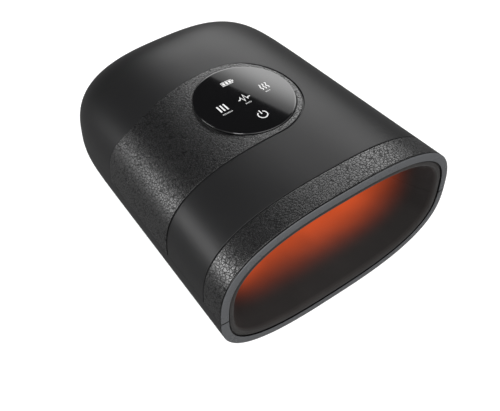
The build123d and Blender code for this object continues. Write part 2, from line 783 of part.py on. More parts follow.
# Main board over the battery, and the charging inlet on its shelf
board_top = main_board_z + board_thickness
board_y1 = bay_y + main_board_depth
main_board = block(main_board_x, bracket_end_x, bay_y, board_y1, main_board_z, board_top)
save("main_board", main_board)
chip_y = (bay_y + board_y1) / 2
connector_x0 = bracket_end_x - connector_width
connector = block(connector_x0, bracket_end_x, bay_y, board_y1 - 2 * lead_pitch, board_top,
                  board_top + connector_height)
board_parts = [connector]
for number in (1, 2, 3):
    x = connector_x0 - number * (chip_size + led_size)
    chip = block(x, x + chip_size, chip_y - chip_size / 2, chip_y + chip_size / 2, board_top, board_top + chip_height)
    board_parts.append(chip)
save("main_board_parts", *board_parts)

half_board = usb_board_width / 2
usb_front = socket_rear - socket_length - shelf_margin / 2
usb_board = block(-half_board, half_board, usb_front, usb_front + usb_board_length - shelf_margin, shelf_top,
                  usb_board_top)
usb_board = usb_board & inner
save("usb_board", usb_board)


def socket_bar(width, height, y0, y1):
    """Gives a bar with round ends along y at the charging inlet."""
    plan = RectangleRounded(width, height, height / 2 - seam / 2)
    return Pos(0, y0, socket_z) * Rot(-90, 0, 0) * extrude(plan, y1 - y0)


socket_front = socket_rear - socket_length
socket = socket_bar(socket_width, socket_height, socket_front, socket_rear)
hollow = socket_bar(socket_width - 2 * socket_wall, socket_height - 2 * socket_wall, socket_front + socket_wall,
                    socket_rear)
tongue = block(-tongue_width / 2, tongue_width / 2, socket_front, socket_rear - socket_recess,
               socket_z - tongue_height / 2, socket_z + tongue_height / 2)
save("usb_socket", socket - hollow + tongue)

# Leads and the touch panel's ribbon
lead_z = board_top + connector_height / 2
lead_end_x = bracket_end_x
lead_turn_x = cell_right_x + terminal_height + lead_bend + lead_radius
battery_leads = []
for number, z in enumerate((cell_rise, -cell_rise)):
    y = cell_y - lead_pitch * number
    start_x = cell_right_x + terminal_height
    route = [(start_x, y, z), (lead_turn_x, y, z), (lead_turn_x, y, lead_z), (lead_end_x, y, lead_z)]
    battery_leads.append(tube(route, lead_radius, 0, lead_bend))
save("battery_leads", *battery_leads)
motor_leads = []
for number in (1, 2):
    y = bay_y + lead_pitch * number - lead_radius
    z = -lead_bend
    turn_x = motor_x - lead_pitch - lead_bend
    route = [(motor_x, y + lead_pitch, z), (turn_x, y + lead_pitch, z), (turn_x, y + lead_pitch, lead_z),
             (lead_end_x, y + lead_pitch, lead_z)]
    motor_leads.append(tube(route, lead_radius, 0, lead_bend))
save("motor_leads", *motor_leads)

ribbon_top = board_z - board_thickness
ribbon_right_x = connector_x0 - led_size
ribbon_left_x = ribbon_right_x - ribbon_width
ribbon_end_y = bay_y + ribbon_bend
run = block(ribbon_left_x, ribbon_right_x, disc_y, ribbon_end_y, ribbon_top - ribbon_thickness, ribbon_top)
drop = block(ribbon_left_x, ribbon_right_x, ribbon_end_y - ribbon_thickness, ribbon_end_y, board_top, ribbon_top)
ribbon = run + drop
fold = ribbon.edges().filter_by(Axis.X).sort_by(Axis.Y)[-2:].sort_by(Axis.Z)[-1:]
save("touch_ribbon", fillet(fold, ribbon_thickness))
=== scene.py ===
"""Dresses a packed cordless hand massager: casing, grained trim, mouth ring, lining, glass and studio."""

from __future__ import annotations

import logging
import math
from collections.abc import Sequence
from dataclasses import dataclass, field
from enum import Enum
from functools import cache
from typing import ClassVar

import bmesh
import bpy
import numpy as np
from mathutils import Matrix, Vector

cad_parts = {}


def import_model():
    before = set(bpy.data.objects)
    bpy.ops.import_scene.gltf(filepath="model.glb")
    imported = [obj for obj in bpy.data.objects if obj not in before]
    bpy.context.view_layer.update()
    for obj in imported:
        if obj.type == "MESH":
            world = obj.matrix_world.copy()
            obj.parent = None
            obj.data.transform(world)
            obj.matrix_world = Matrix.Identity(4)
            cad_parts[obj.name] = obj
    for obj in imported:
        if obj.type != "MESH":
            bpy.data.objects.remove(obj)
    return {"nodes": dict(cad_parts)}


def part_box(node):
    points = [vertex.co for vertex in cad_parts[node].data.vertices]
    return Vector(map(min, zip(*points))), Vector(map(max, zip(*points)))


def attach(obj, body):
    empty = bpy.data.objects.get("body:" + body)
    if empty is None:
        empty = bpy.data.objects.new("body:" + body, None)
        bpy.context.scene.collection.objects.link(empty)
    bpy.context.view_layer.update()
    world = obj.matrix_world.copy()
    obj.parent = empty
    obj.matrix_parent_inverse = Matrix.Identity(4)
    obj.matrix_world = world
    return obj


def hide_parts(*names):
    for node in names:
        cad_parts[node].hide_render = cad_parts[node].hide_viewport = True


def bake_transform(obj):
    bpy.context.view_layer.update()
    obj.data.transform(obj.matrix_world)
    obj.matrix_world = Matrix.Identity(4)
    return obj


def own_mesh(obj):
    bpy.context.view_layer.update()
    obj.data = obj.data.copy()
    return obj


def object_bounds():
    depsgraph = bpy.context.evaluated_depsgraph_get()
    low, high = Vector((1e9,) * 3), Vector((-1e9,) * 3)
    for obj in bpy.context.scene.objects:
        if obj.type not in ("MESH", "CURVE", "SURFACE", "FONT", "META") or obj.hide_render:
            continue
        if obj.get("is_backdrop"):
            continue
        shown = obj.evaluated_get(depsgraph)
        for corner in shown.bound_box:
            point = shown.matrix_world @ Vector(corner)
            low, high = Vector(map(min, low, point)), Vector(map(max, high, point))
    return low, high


log = logging.getLogger("hand_massager")

Array = np.ndarray
Colour = tuple[float, float, float]
Pair = tuple[float, float]
Pairs = Sequence[Pair]
Piece = bpy.types.Object
Sizes = tuple[Array, Array, Array, Array]
Socket = bpy.types.NodeSocket
Tree = bpy.types.NodeTree

MM = 0.001
WELD = 1e-6
TINY = 1e-12
CRISP = 40.0
ENDS = (0, -1)


class Side(Enum):
    """The two halves of the casing, told apart at the parting line."""

    UPPER = 1
    LOWER = -1

    @property
    def word(self) -> str:
        """Gives the half's word in the names of pieces, nodes and bodies."""
        return self.name.lower()


class Axis(Enum):
    """The frame's directions, as the wave texture names them."""

    X = "X"
    Y = "Y"
    Z = "Z"


# Forms worked out from a rule


def running(x: Array, z: Array) -> Array:
    """Gives the length so far at each point of lines whose points lie along the last axis."""
    length = np.cumsum(np.hypot(np.diff(x), np.diff(z)), axis=-1)
    return np.concatenate([np.zeros((*length.shape[:-1], 1)), length], axis=-1)


def eased(value: Array) -> Array:
    """Turns numbers into smooth shares, 0 up to 0 and 1 from 1 on."""
    share = np.clip(value, 0, 1)
    return share * share * (3 - 2 * share)


@dataclass(frozen=True)
class CasingForm:
    """The casing's law: rounded-box sections that taper to the rear and round in there. Millimetres."""

    half_width: float = 85.0
    crown: float = 48.7
    belly: float = 45.6
    length: float = 195.2
    width_taper: float = 0.15
    plan_round: float = 131.5
    profile_round: float = 84.3
    corner_power: float = 2.76
    rounding_power: float = 4.5
    rear_cap: float = 0.3
    upper_seam: float = -2.55
    lower_seam: float = -2.75
    outline_steps: int = 1500

    def level(self, side: Side) -> float:
        """Gives the height of a half's edge at the parting line."""
        return self.upper_seam if side is Side.UPPER else self.lower_seam

    def rear_left(self, y: Array, start: float) -> Array:
        """Gives how much of a half size is left at y, where the rear rounds in from start."""
        along = np.clip((y - start) / (self.length - start), 0.0, 1.0)
        return np.maximum(1 - along**self.rounding_power, 0.0) ** (1 / self.rounding_power)

    def sizes(self, y: Array, inset: float = 0.0) -> Sizes:
        """Gives the sizes of the sections at places along the casing.

        Args:
            y: The places.
            inset: How far the sizes are drawn in.

        Returns:
            The half widths, heights over the widest level, depths under it and corner powers.
        """
        rise = self.rear_left(y, self.profile_round)
        width = (self.half_width - inset) * (1 - self.width_taper * y / self.length)
        width = width * self.rear_left(y, self.plan_round)
        power = np.full_like(y, self.corner_power)
        return width, (self.crown - inset) * rise, (self.belly - inset) * rise, power

    def rear_end(self) -> float:
        """Gives the place where the rounding has left only the small flat rear face."""
        reach = (1 - self.rear_cap**self.rounding_power) ** (1 / self.rounding_power)
        return self.plan_round + reach * (self.length - self.plan_round)

    def outline(self) -> tuple[Array, Array]:
        """Gives places along the casing, closer towards the rear, and their shares of its outline in plan."""
        steps = self.rear_end() * (1 - (1 - np.linspace(0, 1, self.outline_steps)) ** 3)
        run = running(steps, self.sizes(steps)[0])
        return steps, run / run[-1]

    def along(self, shares: Array) -> Array:
        """Gives the places at shares of the outline in plan, from 0 at the mouth to 1 at the rear face."""
        steps, run = self.outline()
        return np.interp(shares, run, steps)

    def share_at(self, y: Array) -> Array:
        """Gives the share that along() turns into y."""
        steps, run = self.outline()
        return np.interp(y, steps, run)


@dataclass(frozen=True)
class HalfSection:
    """One half of a rounded-box section, from its left edge at the parting line round to its right edge."""

    side: Side
    level: float
    samples: int = 420
    batch: int = 4000

    def angles(self, bottom: Array, power: Array) -> Array:
        """Gives the sample angles of sections with these depths and corner powers, one row each."""
        dip = np.arcsin(np.clip(-self.level / bottom, 0.0, 1.0) ** (power / 2))
        left = math.pi + dip
        right = -dip if self.side is Side.UPPER else 2 * math.pi - dip
        return left[:, None] + (right - left)[:, None] * np.linspace(0, 1, self.samples)

    @staticmethod
    def place(angle: Array, width: Array, top: Array, bottom: Array, power: Array) -> tuple[Array, Array]:
        """Gives x and z at angles round sections of these sizes."""
        across, up = np.cos(angle), np.sin(angle)
        tall = np.where(up >= 0, top, bottom)
        x = width * np.abs(across) ** (2 / power) * np.sign(across)
        return x, tall * np.abs(up) ** (2 / power) * np.sign(up)

    def sampled(self, sizes: Sequence[Array]) -> tuple[Array, Array]:
        """Gives the sample angles of sections and the length so far at each, one row for each section."""
        angles = self.angles(*sizes[2:])
        return angles, running(*self.place(angles, *(size[:, None] for size in sizes)))

    def at_shares(self, shares: Array, sizes: Sizes) -> tuple[Array, Array]:
        """Gives x and z at shares of each half's length.

        Args:
            shares: Numbers from 0 at the left edge to 1 at the right edge, one for each point.
            sizes: The sizes of each point's section.

        Returns:
            The points' x and z.
        """
        found = []
        for start in range(0, len(shares), self.batch):
            part = slice(start, start + self.batch)
            some = [size[part] for size in sizes]
            angles, run = self.sampled(some)
            want = shares[part] * run[:, -1]
            index = np.clip((run < want[:, None]).sum(axis=1) - 1, 0, self.samples - 2)
            row = np.arange(len(want))
            step = np.maximum(run[row, index + 1] - run[row, index], TINY)
            mix = (want - run[row, index]) / step
            angle = angles[row, index] + (angles[row, index + 1] - angles[row, index]) * mix
            found.append(self.place(angle, *some))
        x, z = (np.concatenate(values) for values in zip(*found))
        return x, z

    def share_of(self, x: Array, sizes: Sizes) -> Array:
        """Gives the shares at which the halves reach x.

        Args:
            x: A place across each section.
            sizes: The sizes of each section.

        Returns:
            The shares.
        """
        width, _, _, power = sizes
        angles, run = self.sampled(sizes)
        flat = np.arccos(np.clip(np.sign(x) * np.abs(x / width) ** (power / 2), -1, 1))
        want = flat if self.side is Side.UPPER else 2 * math.pi - flat
        order = slice(None, None, -self.side.value)
        found = [np.interp(goal, row[order], length[order]) for goal, row, length in zip(want, angles, run)]
        return np.array(found) / run[:, -1]


@dataclass(frozen=True)
class Skin:
    """Places points on the casing's surface, or a given depth under it, in the frame."""

    form: CasingForm
    side: Side
    origin: Vector
    slope_step: float = 0.02

    @property
    def section(self) -> HalfSection:
        """Gives this half's section."""
        return HalfSection(self.side, self.form.level(self.side))

    def place(self, shares: Array, y: Array, depth: float | Array = 0.0) -> Array:
        """Gives points in metres.

        Args:
            shares: Shares across the half, in any shape.
            y: Places along the casing, in the same shape.
            depth: How far under the surface the points lie, in millimetres.

        Returns:
            The points, with a last axis of three.
        """
        shares, y = np.broadcast_arrays(np.asarray(shares, float), np.asarray(y, float))
        flat_shares, flat_y = shares.ravel(), y.ravel()
        x, z = self.section.at_shares(flat_shares, self.form.sizes(flat_y))
        points = np.stack([x, flat_y, z], axis=-1)
        deep = np.broadcast_to(np.asarray(depth, float), y.shape).ravel()
        if np.any(deep != 0):
            points = points - deep[:, None] * self.normals(points)
            edge = (flat_shares <= 0) | (flat_shares >= 1)
            points[edge, 2] = self.form.level(self.side)
        return to_frame(points, self.origin).reshape(*y.shape, 3)

    def normals(self, points: Array) -> Array:
        """Gives the surface's outward directions at points in millimetres.

        Args:
            points: The points, one in each row.

        Returns:
            The directions, each of length one.
        """
        x, y, z = points.T
        back = np.minimum(y, self.form.rear_end() - self.slope_step)
        width, top, bottom, power = self.form.sizes(back)
        next_width, next_top, next_bottom, _ = self.form.sizes(back + self.slope_step)
        tall = np.where(z >= 0, top, bottom)
        next_tall = np.where(z >= 0, next_top, next_bottom)
        wide_part = np.abs(x / width) ** power
        tall_part = np.abs(z / tall) ** power
        across = np.abs(x / width) ** (power - 1) / width * np.sign(x)
        up = np.abs(z / tall) ** (power - 1) / tall * np.sign(z)
        change = wide_part * (next_width - width) / width + tall_part * (next_tall - tall) / tall
        result = np.stack([across, -change / self.slope_step, up], axis=-1)
        return result / np.maximum(np.linalg.norm(result, axis=1, keepdims=True), TINY)

    def share_of(self, x: Array, y: Array) -> Array:
        """Gives the shares across the half at places in plan."""
        flat_x, flat_y = np.ravel(x).astype(float), np.ravel(y).astype(float)
        return self.section.share_of(flat_x, self.form.sizes(flat_y)).reshape(np.shape(x))

    def rear_face(self, shares: Array, depth: float, rows: int = 7) -> Array:
        """Gives the rows that close the small flat rear face towards its middle.

        Args:
            shares: Shares across the half.
            depth: How far under the surface the rows lie.
            rows: Steps from the face's edge to its middle.

        Returns:
            The rows of points, the edge's own row left out.
        """
        ring = self.place(shares, np.full_like(shares, self.form.rear_end()), depth)
        goal = np.array([0.0, self.form.length - depth, self.form.level(self.side)])
        middle = to_frame(goal, self.origin)
        mixes = np.linspace(0, 1, rows)[1:, None, None]
        result = ring * (1 - mixes) + middle * mixes
        result[..., 1] = ring[:, 1] + (middle[1] - ring[:, 1]) * (1 - (1 - mixes[..., 0]) ** 2)
        return result


def to_frame(points: Array, origin: Vector) -> Array:
    """Turns millimetres from the casing's origin at the mouth into the frame's metres."""
    return points * MM + np.array(origin)


# Meshes


@dataclass
class Sheet:
    """Collects patches of points and joins them into one closed mesh."""

    points: list[Array] = field(default_factory=list)
    faces: list[tuple[int, ...]] = field(default_factory=list)
    count: int = 0

    def add(self, points: Array) -> Array:
        """Stores points and gives their numbers, in the same shape."""
        flat = points.reshape(-1, 3)
        numbers = np.arange(self.count, self.count + len(flat)).reshape(points.shape[:-1])
        self.points.append(flat)
        self.count += len(flat)
        return numbers

    def patch(self, *grids: Array, closed: bool = False) -> None:
        """Adds the faces of grids of points; closed joins each one's last column to its first."""
        for grid in grids:
            numbers = self.add(grid)
            if closed:
                numbers = np.concatenate([numbers, numbers[:, :1]], axis=1)
            for low, high in zip(numbers[:-1].tolist(), numbers[1:].tolist()):
                self.faces.extend(zip(low[:-1], low[1:], high[1:], high[:-1]))

    def rim(self, first: Array, second: Array) -> None:
        """Fills the strip between two open lines of points that run the same way.

        Args:
            first: One line's points.
            second: The other line's points, of any number.
        """
        a, b = self.add(first).tolist(), self.add(second).tolist()
        runs = []
        for line in (first, second):
            run = np.concatenate([[0], np.cumsum(np.linalg.norm(np.diff(line, axis=0), axis=1))])
            runs.append(run / run[-1])
        run_a, run_b = runs
        i = j = 0
        while i < len(a) - 1 or j < len(b) - 1:
            if j == len(b) - 1 or (i < len(a) - 1 and run_a[i + 1] <= run_b[j + 1]):
                self.faces.append((a[i], a[i + 1], b[j]))
                i += 1
            else:
                self.faces.append((a[i], b[j + 1], b[j]))
                j += 1

    def face(self, points: Array) -> None:
        """Adds one face through a ring of points."""
        self.faces.append(tuple(self.add(points).tolist()))

    def seed(self, name: str) -> bpy.types.Mesh:
        """Gives the plain mesh as it was collected."""
        mesh = bpy.data.meshes.new(name)
        mesh.from_pydata(np.concatenate(self.points).tolist(), [], self.faces)
        return mesh

    def build(self, name: str, sharp_degrees: float = CRISP) -> Piece:
        """Makes the linked object, with its doubles merged, its faces outwards and sharp edges crisp."""
        mesh = self.seed(name)
        clean(mesh)
        return link(name, mesh, sharp_degrees)


def clean(mesh: bpy.types.Mesh) -> None:
    """Merges a mesh's doubles, drops empty faces and turns the faces outwards."""
    work = bmesh.new()
    work.from_mesh(mesh)
    bmesh.ops.remove_doubles(work, verts=work.verts, dist=WELD)
    bmesh.ops.dissolve_degenerate(work, edges=work.edges, dist=WELD)
    bmesh.ops.recalc_face_normals(work, faces=work.faces)
    work.to_mesh(mesh)
    work.free()


def shade(mesh: bpy.types.Mesh, sharp_degrees: float) -> None:
    """Shades a mesh smooth and keeps the edges crisp that turn more than an angle."""
    mesh.shade_smooth()
    mesh.set_sharp_from_angle(angle=math.radians(sharp_degrees))


def show(name: str, data: bpy.types.ID) -> Piece:
    """Links an object for a mesh, a light or a camera."""
    made = bpy.data.objects.new(name, data)
    bpy.context.scene.collection.objects.link(made)
    return made


def link(name: str, mesh: bpy.types.Mesh, sharp_degrees: float = CRISP) -> Piece:
    """Links a smooth-shaded object for a mesh whose place is in its points."""
    mesh.name = name
    shade(mesh, sharp_degrees)
    return show(name, mesh)


def applied(piece: Piece) -> bpy.types.Mesh:
    """Gives a piece's mesh as its modifiers make it, and takes them off."""
    mesh = bpy.data.meshes.new_from_object(piece.evaluated_get(bpy.context.evaluated_depsgraph_get()))
    piece.modifiers.clear()
    return mesh


def join(name: str, pieces: Sequence[Piece]) -> Piece:
    """Joins objects into one and removes them.

    Args:
        name: The new object's name.
        pieces: The objects.

    Returns:
        The linked object.
    """
    work = bmesh.new()
    for piece in pieces:
        work.from_mesh(piece.data)
        bpy.data.meshes.remove(piece.data)
    mesh = bpy.data.meshes.new(name)
    work.to_mesh(mesh)
    work.free()
    return link(name, mesh)


def combine(piece: Piece, operation: str, other: Piece) -> None:
    """Adds an exact boolean of a closed piece with another one."""
    modifier = piece.modifiers.new(operation.lower(), "BOOLEAN")
    modifier.operation = operation
    modifier.solver = "EXACT"
    modifier.object = other


def cut(piece: Piece, cutters: Sequence[Piece], sharp_degrees: float) -> None:
    """Cuts closed cutters out of a closed piece and removes them.

    Args:
        piece: The piece, with any other modifier that comes first.
        cutters: The cutters.
        sharp_degrees: Edges that turn more than this stay crisp.
    """
    for cutter in cutters:
        combine(piece, "DIFFERENCE", cutter)
    old, piece.data = piece.data, applied(piece)
    piece.data.name = piece.name
    bpy.data.meshes.remove(old)
    for cutter in cutters:
        bpy.data.objects.remove(cutter)
    shade(piece.data, sharp_degrees)


def lathe(name: str, profile: Pairs, centre: Vector, axis: Axis = Axis.Z, steps: int = 96) -> Piece:
    """Turns a closed or axis-to-axis profile round an axis.

    Args:
        name: The object's name.
        profile: Radius and height pairs in millimetres.
        centre: The axis's foot in the frame, in metres.
        axis: The direction that the heights run along.
        steps: Faces round the axis.

    Returns:
        The linked object.
    """
    angles = np.linspace(0, 2 * math.pi, steps, endpoint=False)
    order = {Axis.X: (2, 0, 1), Axis.Y: (1, 2, 0), Axis.Z: (0, 1, 2)}[axis]
    rows = []
    for radius, height in profile:
        ring = (radius * np.cos(angles), radius * np.sin(angles), np.full(steps, height))
        rows.append(np.stack([ring[number] for number in order], axis=-1))
    sheet = Sheet()
    sheet.patch(to_frame(np.stack(rows), centre), closed=True)
    return sheet.build(name)


def rounded(radius: float, steps: int = 4) -> list[Pair]:
    """Gives how far a rolled edge has come out and dropped, from the flat to the wall."""
    turns = [math.pi / 2 * number / steps for number in range(steps + 1)]
    return [(radius * math.sin(turn), radius * (1 - math.cos(turn))) for turn in turns]


def islands(node: str) -> list[tuple[Vector, Vector]]:
    """Gives the lowest and highest corner of each separate solid in a node of the frame."""
    work = bmesh.new()
    work.from_mesh(bpy.data.objects[node].data)
    bmesh.ops.remove_doubles(work, verts=work.verts, dist=WELD)
    left = set(work.verts)
    boxes = []
    while left:
        waiting, places = [left.pop()], []
        while waiting:
            vertex = waiting.pop()
            places.append(vertex.co.copy())
            near = {edge.other_vert(vertex) for edge in vertex.link_edges} & left
            left -= near
            waiting.extend(near)
        boxes.append((Vector(map(min, zip(*places))), Vector(map(max, zip(*places)))))
    work.free()
    return sorted(boxes, key=lambda pair: tuple(pair[0]))


def middle_of(low: Vector, high: Vector) -> Vector:
    """Gives the middle between two corners of a box."""
    return (low + high) / 2


# Node trees


@dataclass(frozen=True)
class Wiring:
    """Adds nodes to a tree and joins them."""

    tree: Tree

    def add(self, kind: str, inputs: dict[str | int, object] | None = None, output: str | int = 0,
            **settings: object) -> Socket:
        """Adds a node.

        Args:
            kind: The node's type.
            inputs: What its sockets take, by name or number.
            output: The output that is wanted.
            settings: The node's own settings.

        Returns:
            That output.
        """
        made = self.tree.nodes.new(kind)
        for name, value in settings.items():
            setattr(made, name, value)
        for socket, value in (inputs or {}).items():
            self.feed(made.inputs[socket], value)
        return made.outputs[output]

    def feed(self, socket: Socket, value: object) -> None:
        """Joins an output, or each in a list, to a socket, or sets its own value; None leaves it as it is."""
        for item in value if isinstance(value, list) else [value]:
            if isinstance(item, bpy.types.NodeSocket):
                self.tree.links.new(item, socket)
            elif item is not None:
                socket.default_value = item

    def math(self, operation: str, first: object, second: object = None) -> Socket:
        """Gives the result of a math node."""
        return self.add("ShaderNodeMath", {0: first, 1: second}, operation=operation)

    def times(self, first: object, second: object) -> Socket:
        """Gives the product of two values."""
        return self.math("MULTIPLY", first, second)

    def plus(self, first: object, second: object) -> Socket:
        """Gives the sum of two values."""
        return self.math("ADD", first, second)

    def minus(self, first: object, second: object) -> Socket:
        """Gives the difference of two values."""
        return self.math("SUBTRACT", first, second)

    def within(self, value: object, low: float, high: float, start: float = 0.0, end: float = 1.0) -> Socket:
        """Gives a value turned smoothly from low..high to start..end."""
        inputs = dict(enumerate((value, low, high, start, end)))
        return self.add("ShaderNodeMapRange", inputs, interpolation_type="SMOOTHSTEP")

    def parts(self, vector: Socket) -> Sequence[Socket]:
        """Gives a vector's three parts."""
        return self.add("ShaderNodeSeparateXYZ", {0: vector}).node.outputs

    def vector(self, x: object = None, y: object = None, z: object = None) -> Socket:
        """Gives a vector from its parts, zero where there is none."""
        return self.add("ShaderNodeCombineXYZ", {0: x, 1: y, 2: z})

    def scaled(self, vector: Socket, scale: float, offset: Socket) -> Socket:
        """Gives a vector times a number, plus another vector."""
        inputs = {0: vector, 1: (scale,) * 3, 2: offset}
        return self.add("ShaderNodeVectorMath", inputs, operation="MULTIPLY_ADD")

    def raised(self, shape: Socket, height: Socket) -> Socket:
        """Gives a shape moved up by a height."""
        return self.add("GeometryNodeTransform", {"Geometry": shape, "Translation": self.vector(z=height)})

    def swept(self, curve: Socket, profile: Socket) -> Socket:
        """Gives a closed profile swept along a curve, with closed ends."""
        inputs = {"Curve": curve, "Profile Curve": profile, "Fill Caps": True}
        return self.add("GeometryNodeCurveToMesh", inputs)

    def wound(self, radius: Socket, height: Socket, turns: Socket, wire: Socket, steps: int,
              sides: int) -> Socket:
        """Gives a wire wound up a spiral.

        Args:
            radius: The spiral's radius.
            height: How far it climbs.
            turns: How often it goes round.
            wire: The wire's own radius.
            steps: Steps in each turn.
            sides: Sides of the wire.

        Returns:
            The wire's mesh.
        """
        spiral = self.add("GeometryNodeCurveSpiral", {
            "Resolution": steps, "Rotations": turns, "Start Radius": radius, "End Radius": radius,
            "Height": height})
        return self.swept(spiral, self.add("GeometryNodeCurvePrimitiveCircle", {
            "Resolution": sides, "Radius": wire}))

    def on_points(self, points: Socket, shape: Socket, turn: Socket | None = None) -> Socket:
        """Gives a shape put on every point, turned by Euler angles."""
        inputs = {"Points": points, "Instance": shape, "Rotation": turn}
        return self.add("GeometryNodeInstanceOnPoints", inputs)


@dataclass(frozen=True)
class Pattern(Wiring):
    """A material's tree while a finish fills it in."""

    shader: bpy.types.Node
    place: Socket

    def noise(self, scale: float, detail: float = 3.0, roughness: float = 0.5) -> Socket:
        """Gives a cloudy value from 0 to 1; scale is in clouds per metre."""
        inputs = {"Vector": self.place, "Scale": scale, "Detail": detail, "Roughness": roughness}
        return self.add("ShaderNodeTexNoise", inputs, "Fac")

    def cells(self, place: Socket, pitch: float, feature: str = "DISTANCE_TO_EDGE") -> Socket:
        """Gives the distance to the nearest border or middle of irregular cells, by their pitch in metres."""
        inputs = {"Vector": place, "Scale": 1 / pitch}
        return self.add("ShaderNodeTexVoronoi", inputs, "Distance", feature=feature)

    def bands(self, scale: float, direction: Axis, distortion: float, place: Socket | None = None) -> Socket:
        """Gives even bands across one direction."""
        inputs = {"Vector": place or self.place, "Scale": scale, "Distortion": distortion}
        return self.add("ShaderNodeTexWave", inputs, "Fac", bands_direction=direction.value)

    def blend(self, share: Socket, low: Colour, high: Colour) -> Socket:
        """Gives a colour between two."""
        inputs = {"Factor": share, 6: (*low, 1), 7: (*high, 1)}
        return self.add("ShaderNodeMix", inputs, 2, data_type="RGBA")

    def set(self, socket: str, value: Socket) -> None:
        """Lets a value drive one of the surface's sockets."""
        self.feed(self.shader.inputs[socket], value)

    def paint(self, share: Socket, low: Colour, high: Colour) -> None:
        """Colours the surface between two colours."""
        self.set("Base Color", self.blend(share, low, high))

    def polish(self, share: Socket, low: float, high: float) -> None:
        """Varies the roughness between two values."""
        self.set("Roughness", self.within(share, 0, 1, low, high))

    def relief(self, height: Socket, depth: float, below: Socket | None = None) -> Socket:
        """Raises the surface by a height pattern, over any relief below; depth is in metres."""
        bumped = self.add("ShaderNodeBump", {"Distance": depth, "Height": height, "Normal": below})
        self.set("Normal", bumped)
        return bumped


def start_pattern(name: str, constants: dict[str, object]) -> tuple[bpy.types.Material, Pattern]:
    """Makes a material.

    Args:
        name: Its name.
        constants: The values of the surface that are the same all over.

    Returns:
        The material, and its tree to fill in.
    """
    made = bpy.data.materials.new(name)
    made.use_nodes = True
    shader = made.node_tree.nodes["Principled BSDF"]
    for socket, value in constants.items():
        shader.inputs[socket].default_value = value
    place = Wiring(made.node_tree).add("ShaderNodeTexCoord", output="Object")
    return made, Pattern(made.node_tree, shader, place)


# Finishes


@dataclass(frozen=True)
class Finish:
    """A surface's look.

    Its clouds have a number per metre, a detail and a harshness; its tones and gloss have a low and a high;
    its pores have a number per metre, a detail and a depth in metres.
    """

    SURFACE: ClassVar[dict[str, float]] = {"IOR": 1.47}
    CLOUDS: ClassVar[tuple[float, float, float]] = (60.0, 4.0, 0.5)
    TONES: ClassVar[Pair] = (0.93, 1.07)
    GLOSS: ClassVar[Pair] = (-0.04, 0.04)
    PORES: ClassVar[tuple[float, float, float]] = (2600.0, 2.0, 0.00001)

    name: str
    colour: Colour
    roughness: float = 0.45

    def constants(self) -> dict[str, float]:
        """Gives the values that are the same all over the surface."""
        return self.SURFACE

    def tones(self) -> tuple[Colour, ...]:
        """Gives the surface's darkest and lightest colours."""
        return tuple(tuple(share * value for value in self.colour) for share in self.TONES)

    def polish(self, pattern: Pattern, share: Socket) -> None:
        """Varies the roughness on both sides of its own value."""
        pattern.polish(share, *(self.roughness + change for change in self.GLOSS))

    def cloud(self, pattern: Pattern) -> Socket:
        """Varies the tone in soft clouds, and gives the clouds."""
        clouds = pattern.noise(*self.CLOUDS)
        pattern.paint(clouds, *self.tones())
        return clouds

    def fill(self, pattern: Pattern) -> None:
        """Gives the surface the faint unevenness and the fine pores that a moulded part has."""
        count, detail, depth = self.PORES
        self.polish(pattern, self.cloud(pattern))
        pattern.relief(pattern.noise(count, detail), depth)

    def material(self) -> bpy.types.Material:
        """Gives the finish's material, made once."""
        name = self.name + "_finish"
        made = bpy.data.materials.get(name)
        if made is None:
            constants = {"Base Color": (*self.colour, 1), "Roughness": self.roughness, **self.constants()}
            made, pattern = start_pattern(name, constants)
            self.fill(pattern)
        return made


@dataclass(frozen=True)
class SoftTouch(Finish):
    """Rubbery satin paint with the faintest orange peel; peel and speckle are bumps per metre and a depth."""

    SURFACE = {"IOR": 1.4}
    CLOUDS = (22.0, 5.0, 0.6)
    TONES = (0.94, 1.06)
    GLOSS = (-0.03, 0.03)

    peel: Pair = (240.0, 0.00002)
    speckle: Pair = (1900.0, 0.000012)

    def fill(self, pattern: Pattern) -> None:
        """Gives the paint its tone, its rubbed patches and its fine texture."""
        self.polish(pattern, self.cloud(pattern))
        peel = pattern.relief(pattern.noise(self.peel[0], 2.0), self.peel[1])
        pattern.relief(pattern.noise(self.speckle[0], 3.0, 0.7), self.speckle[1], peel)


@dataclass(frozen=True)
class PaintedFace(SoftTouch):
    """Satin paint on a ring's front face, with painted shade: behind the face and at the seam its colour is
    near black, standing in for the shade in the gaps. Metres.
    """

    # Painted shade: the near-black colour behind the face and at the seam.
    bare: Colour = (0.006, 0.006, 0.0065)
    face: Pair = (-0.0970, -0.0967)
    seam: float = 0.04445
    seam_reach: Pair = (0.00034, 0.0006)

    def fill(self, pattern: Pattern) -> None:
        """Lays the paint, then paints shade, near black, on what lies behind the face and at the seam."""
        super().fill(pattern)
        paint = pattern.shader.inputs["Base Color"].links[0].from_socket
        _, along, height = pattern.parts(pattern.place)
        behind = pattern.within(along, *self.face)
        away = pattern.math("ABSOLUTE", pattern.minus(height, self.seam))
        seam_shade = pattern.within(away, *self.seam_reach, 1.0, 0.0)
        # Painted shade, near black, behind the face and in the gap at the seam.
        bare = pattern.blend(pattern.math("MAXIMUM", behind, seam_shade), self.bare, self.bare)
        pattern.feed(bare.node.inputs[6], paint)
        pattern.set("Base Color", bare)


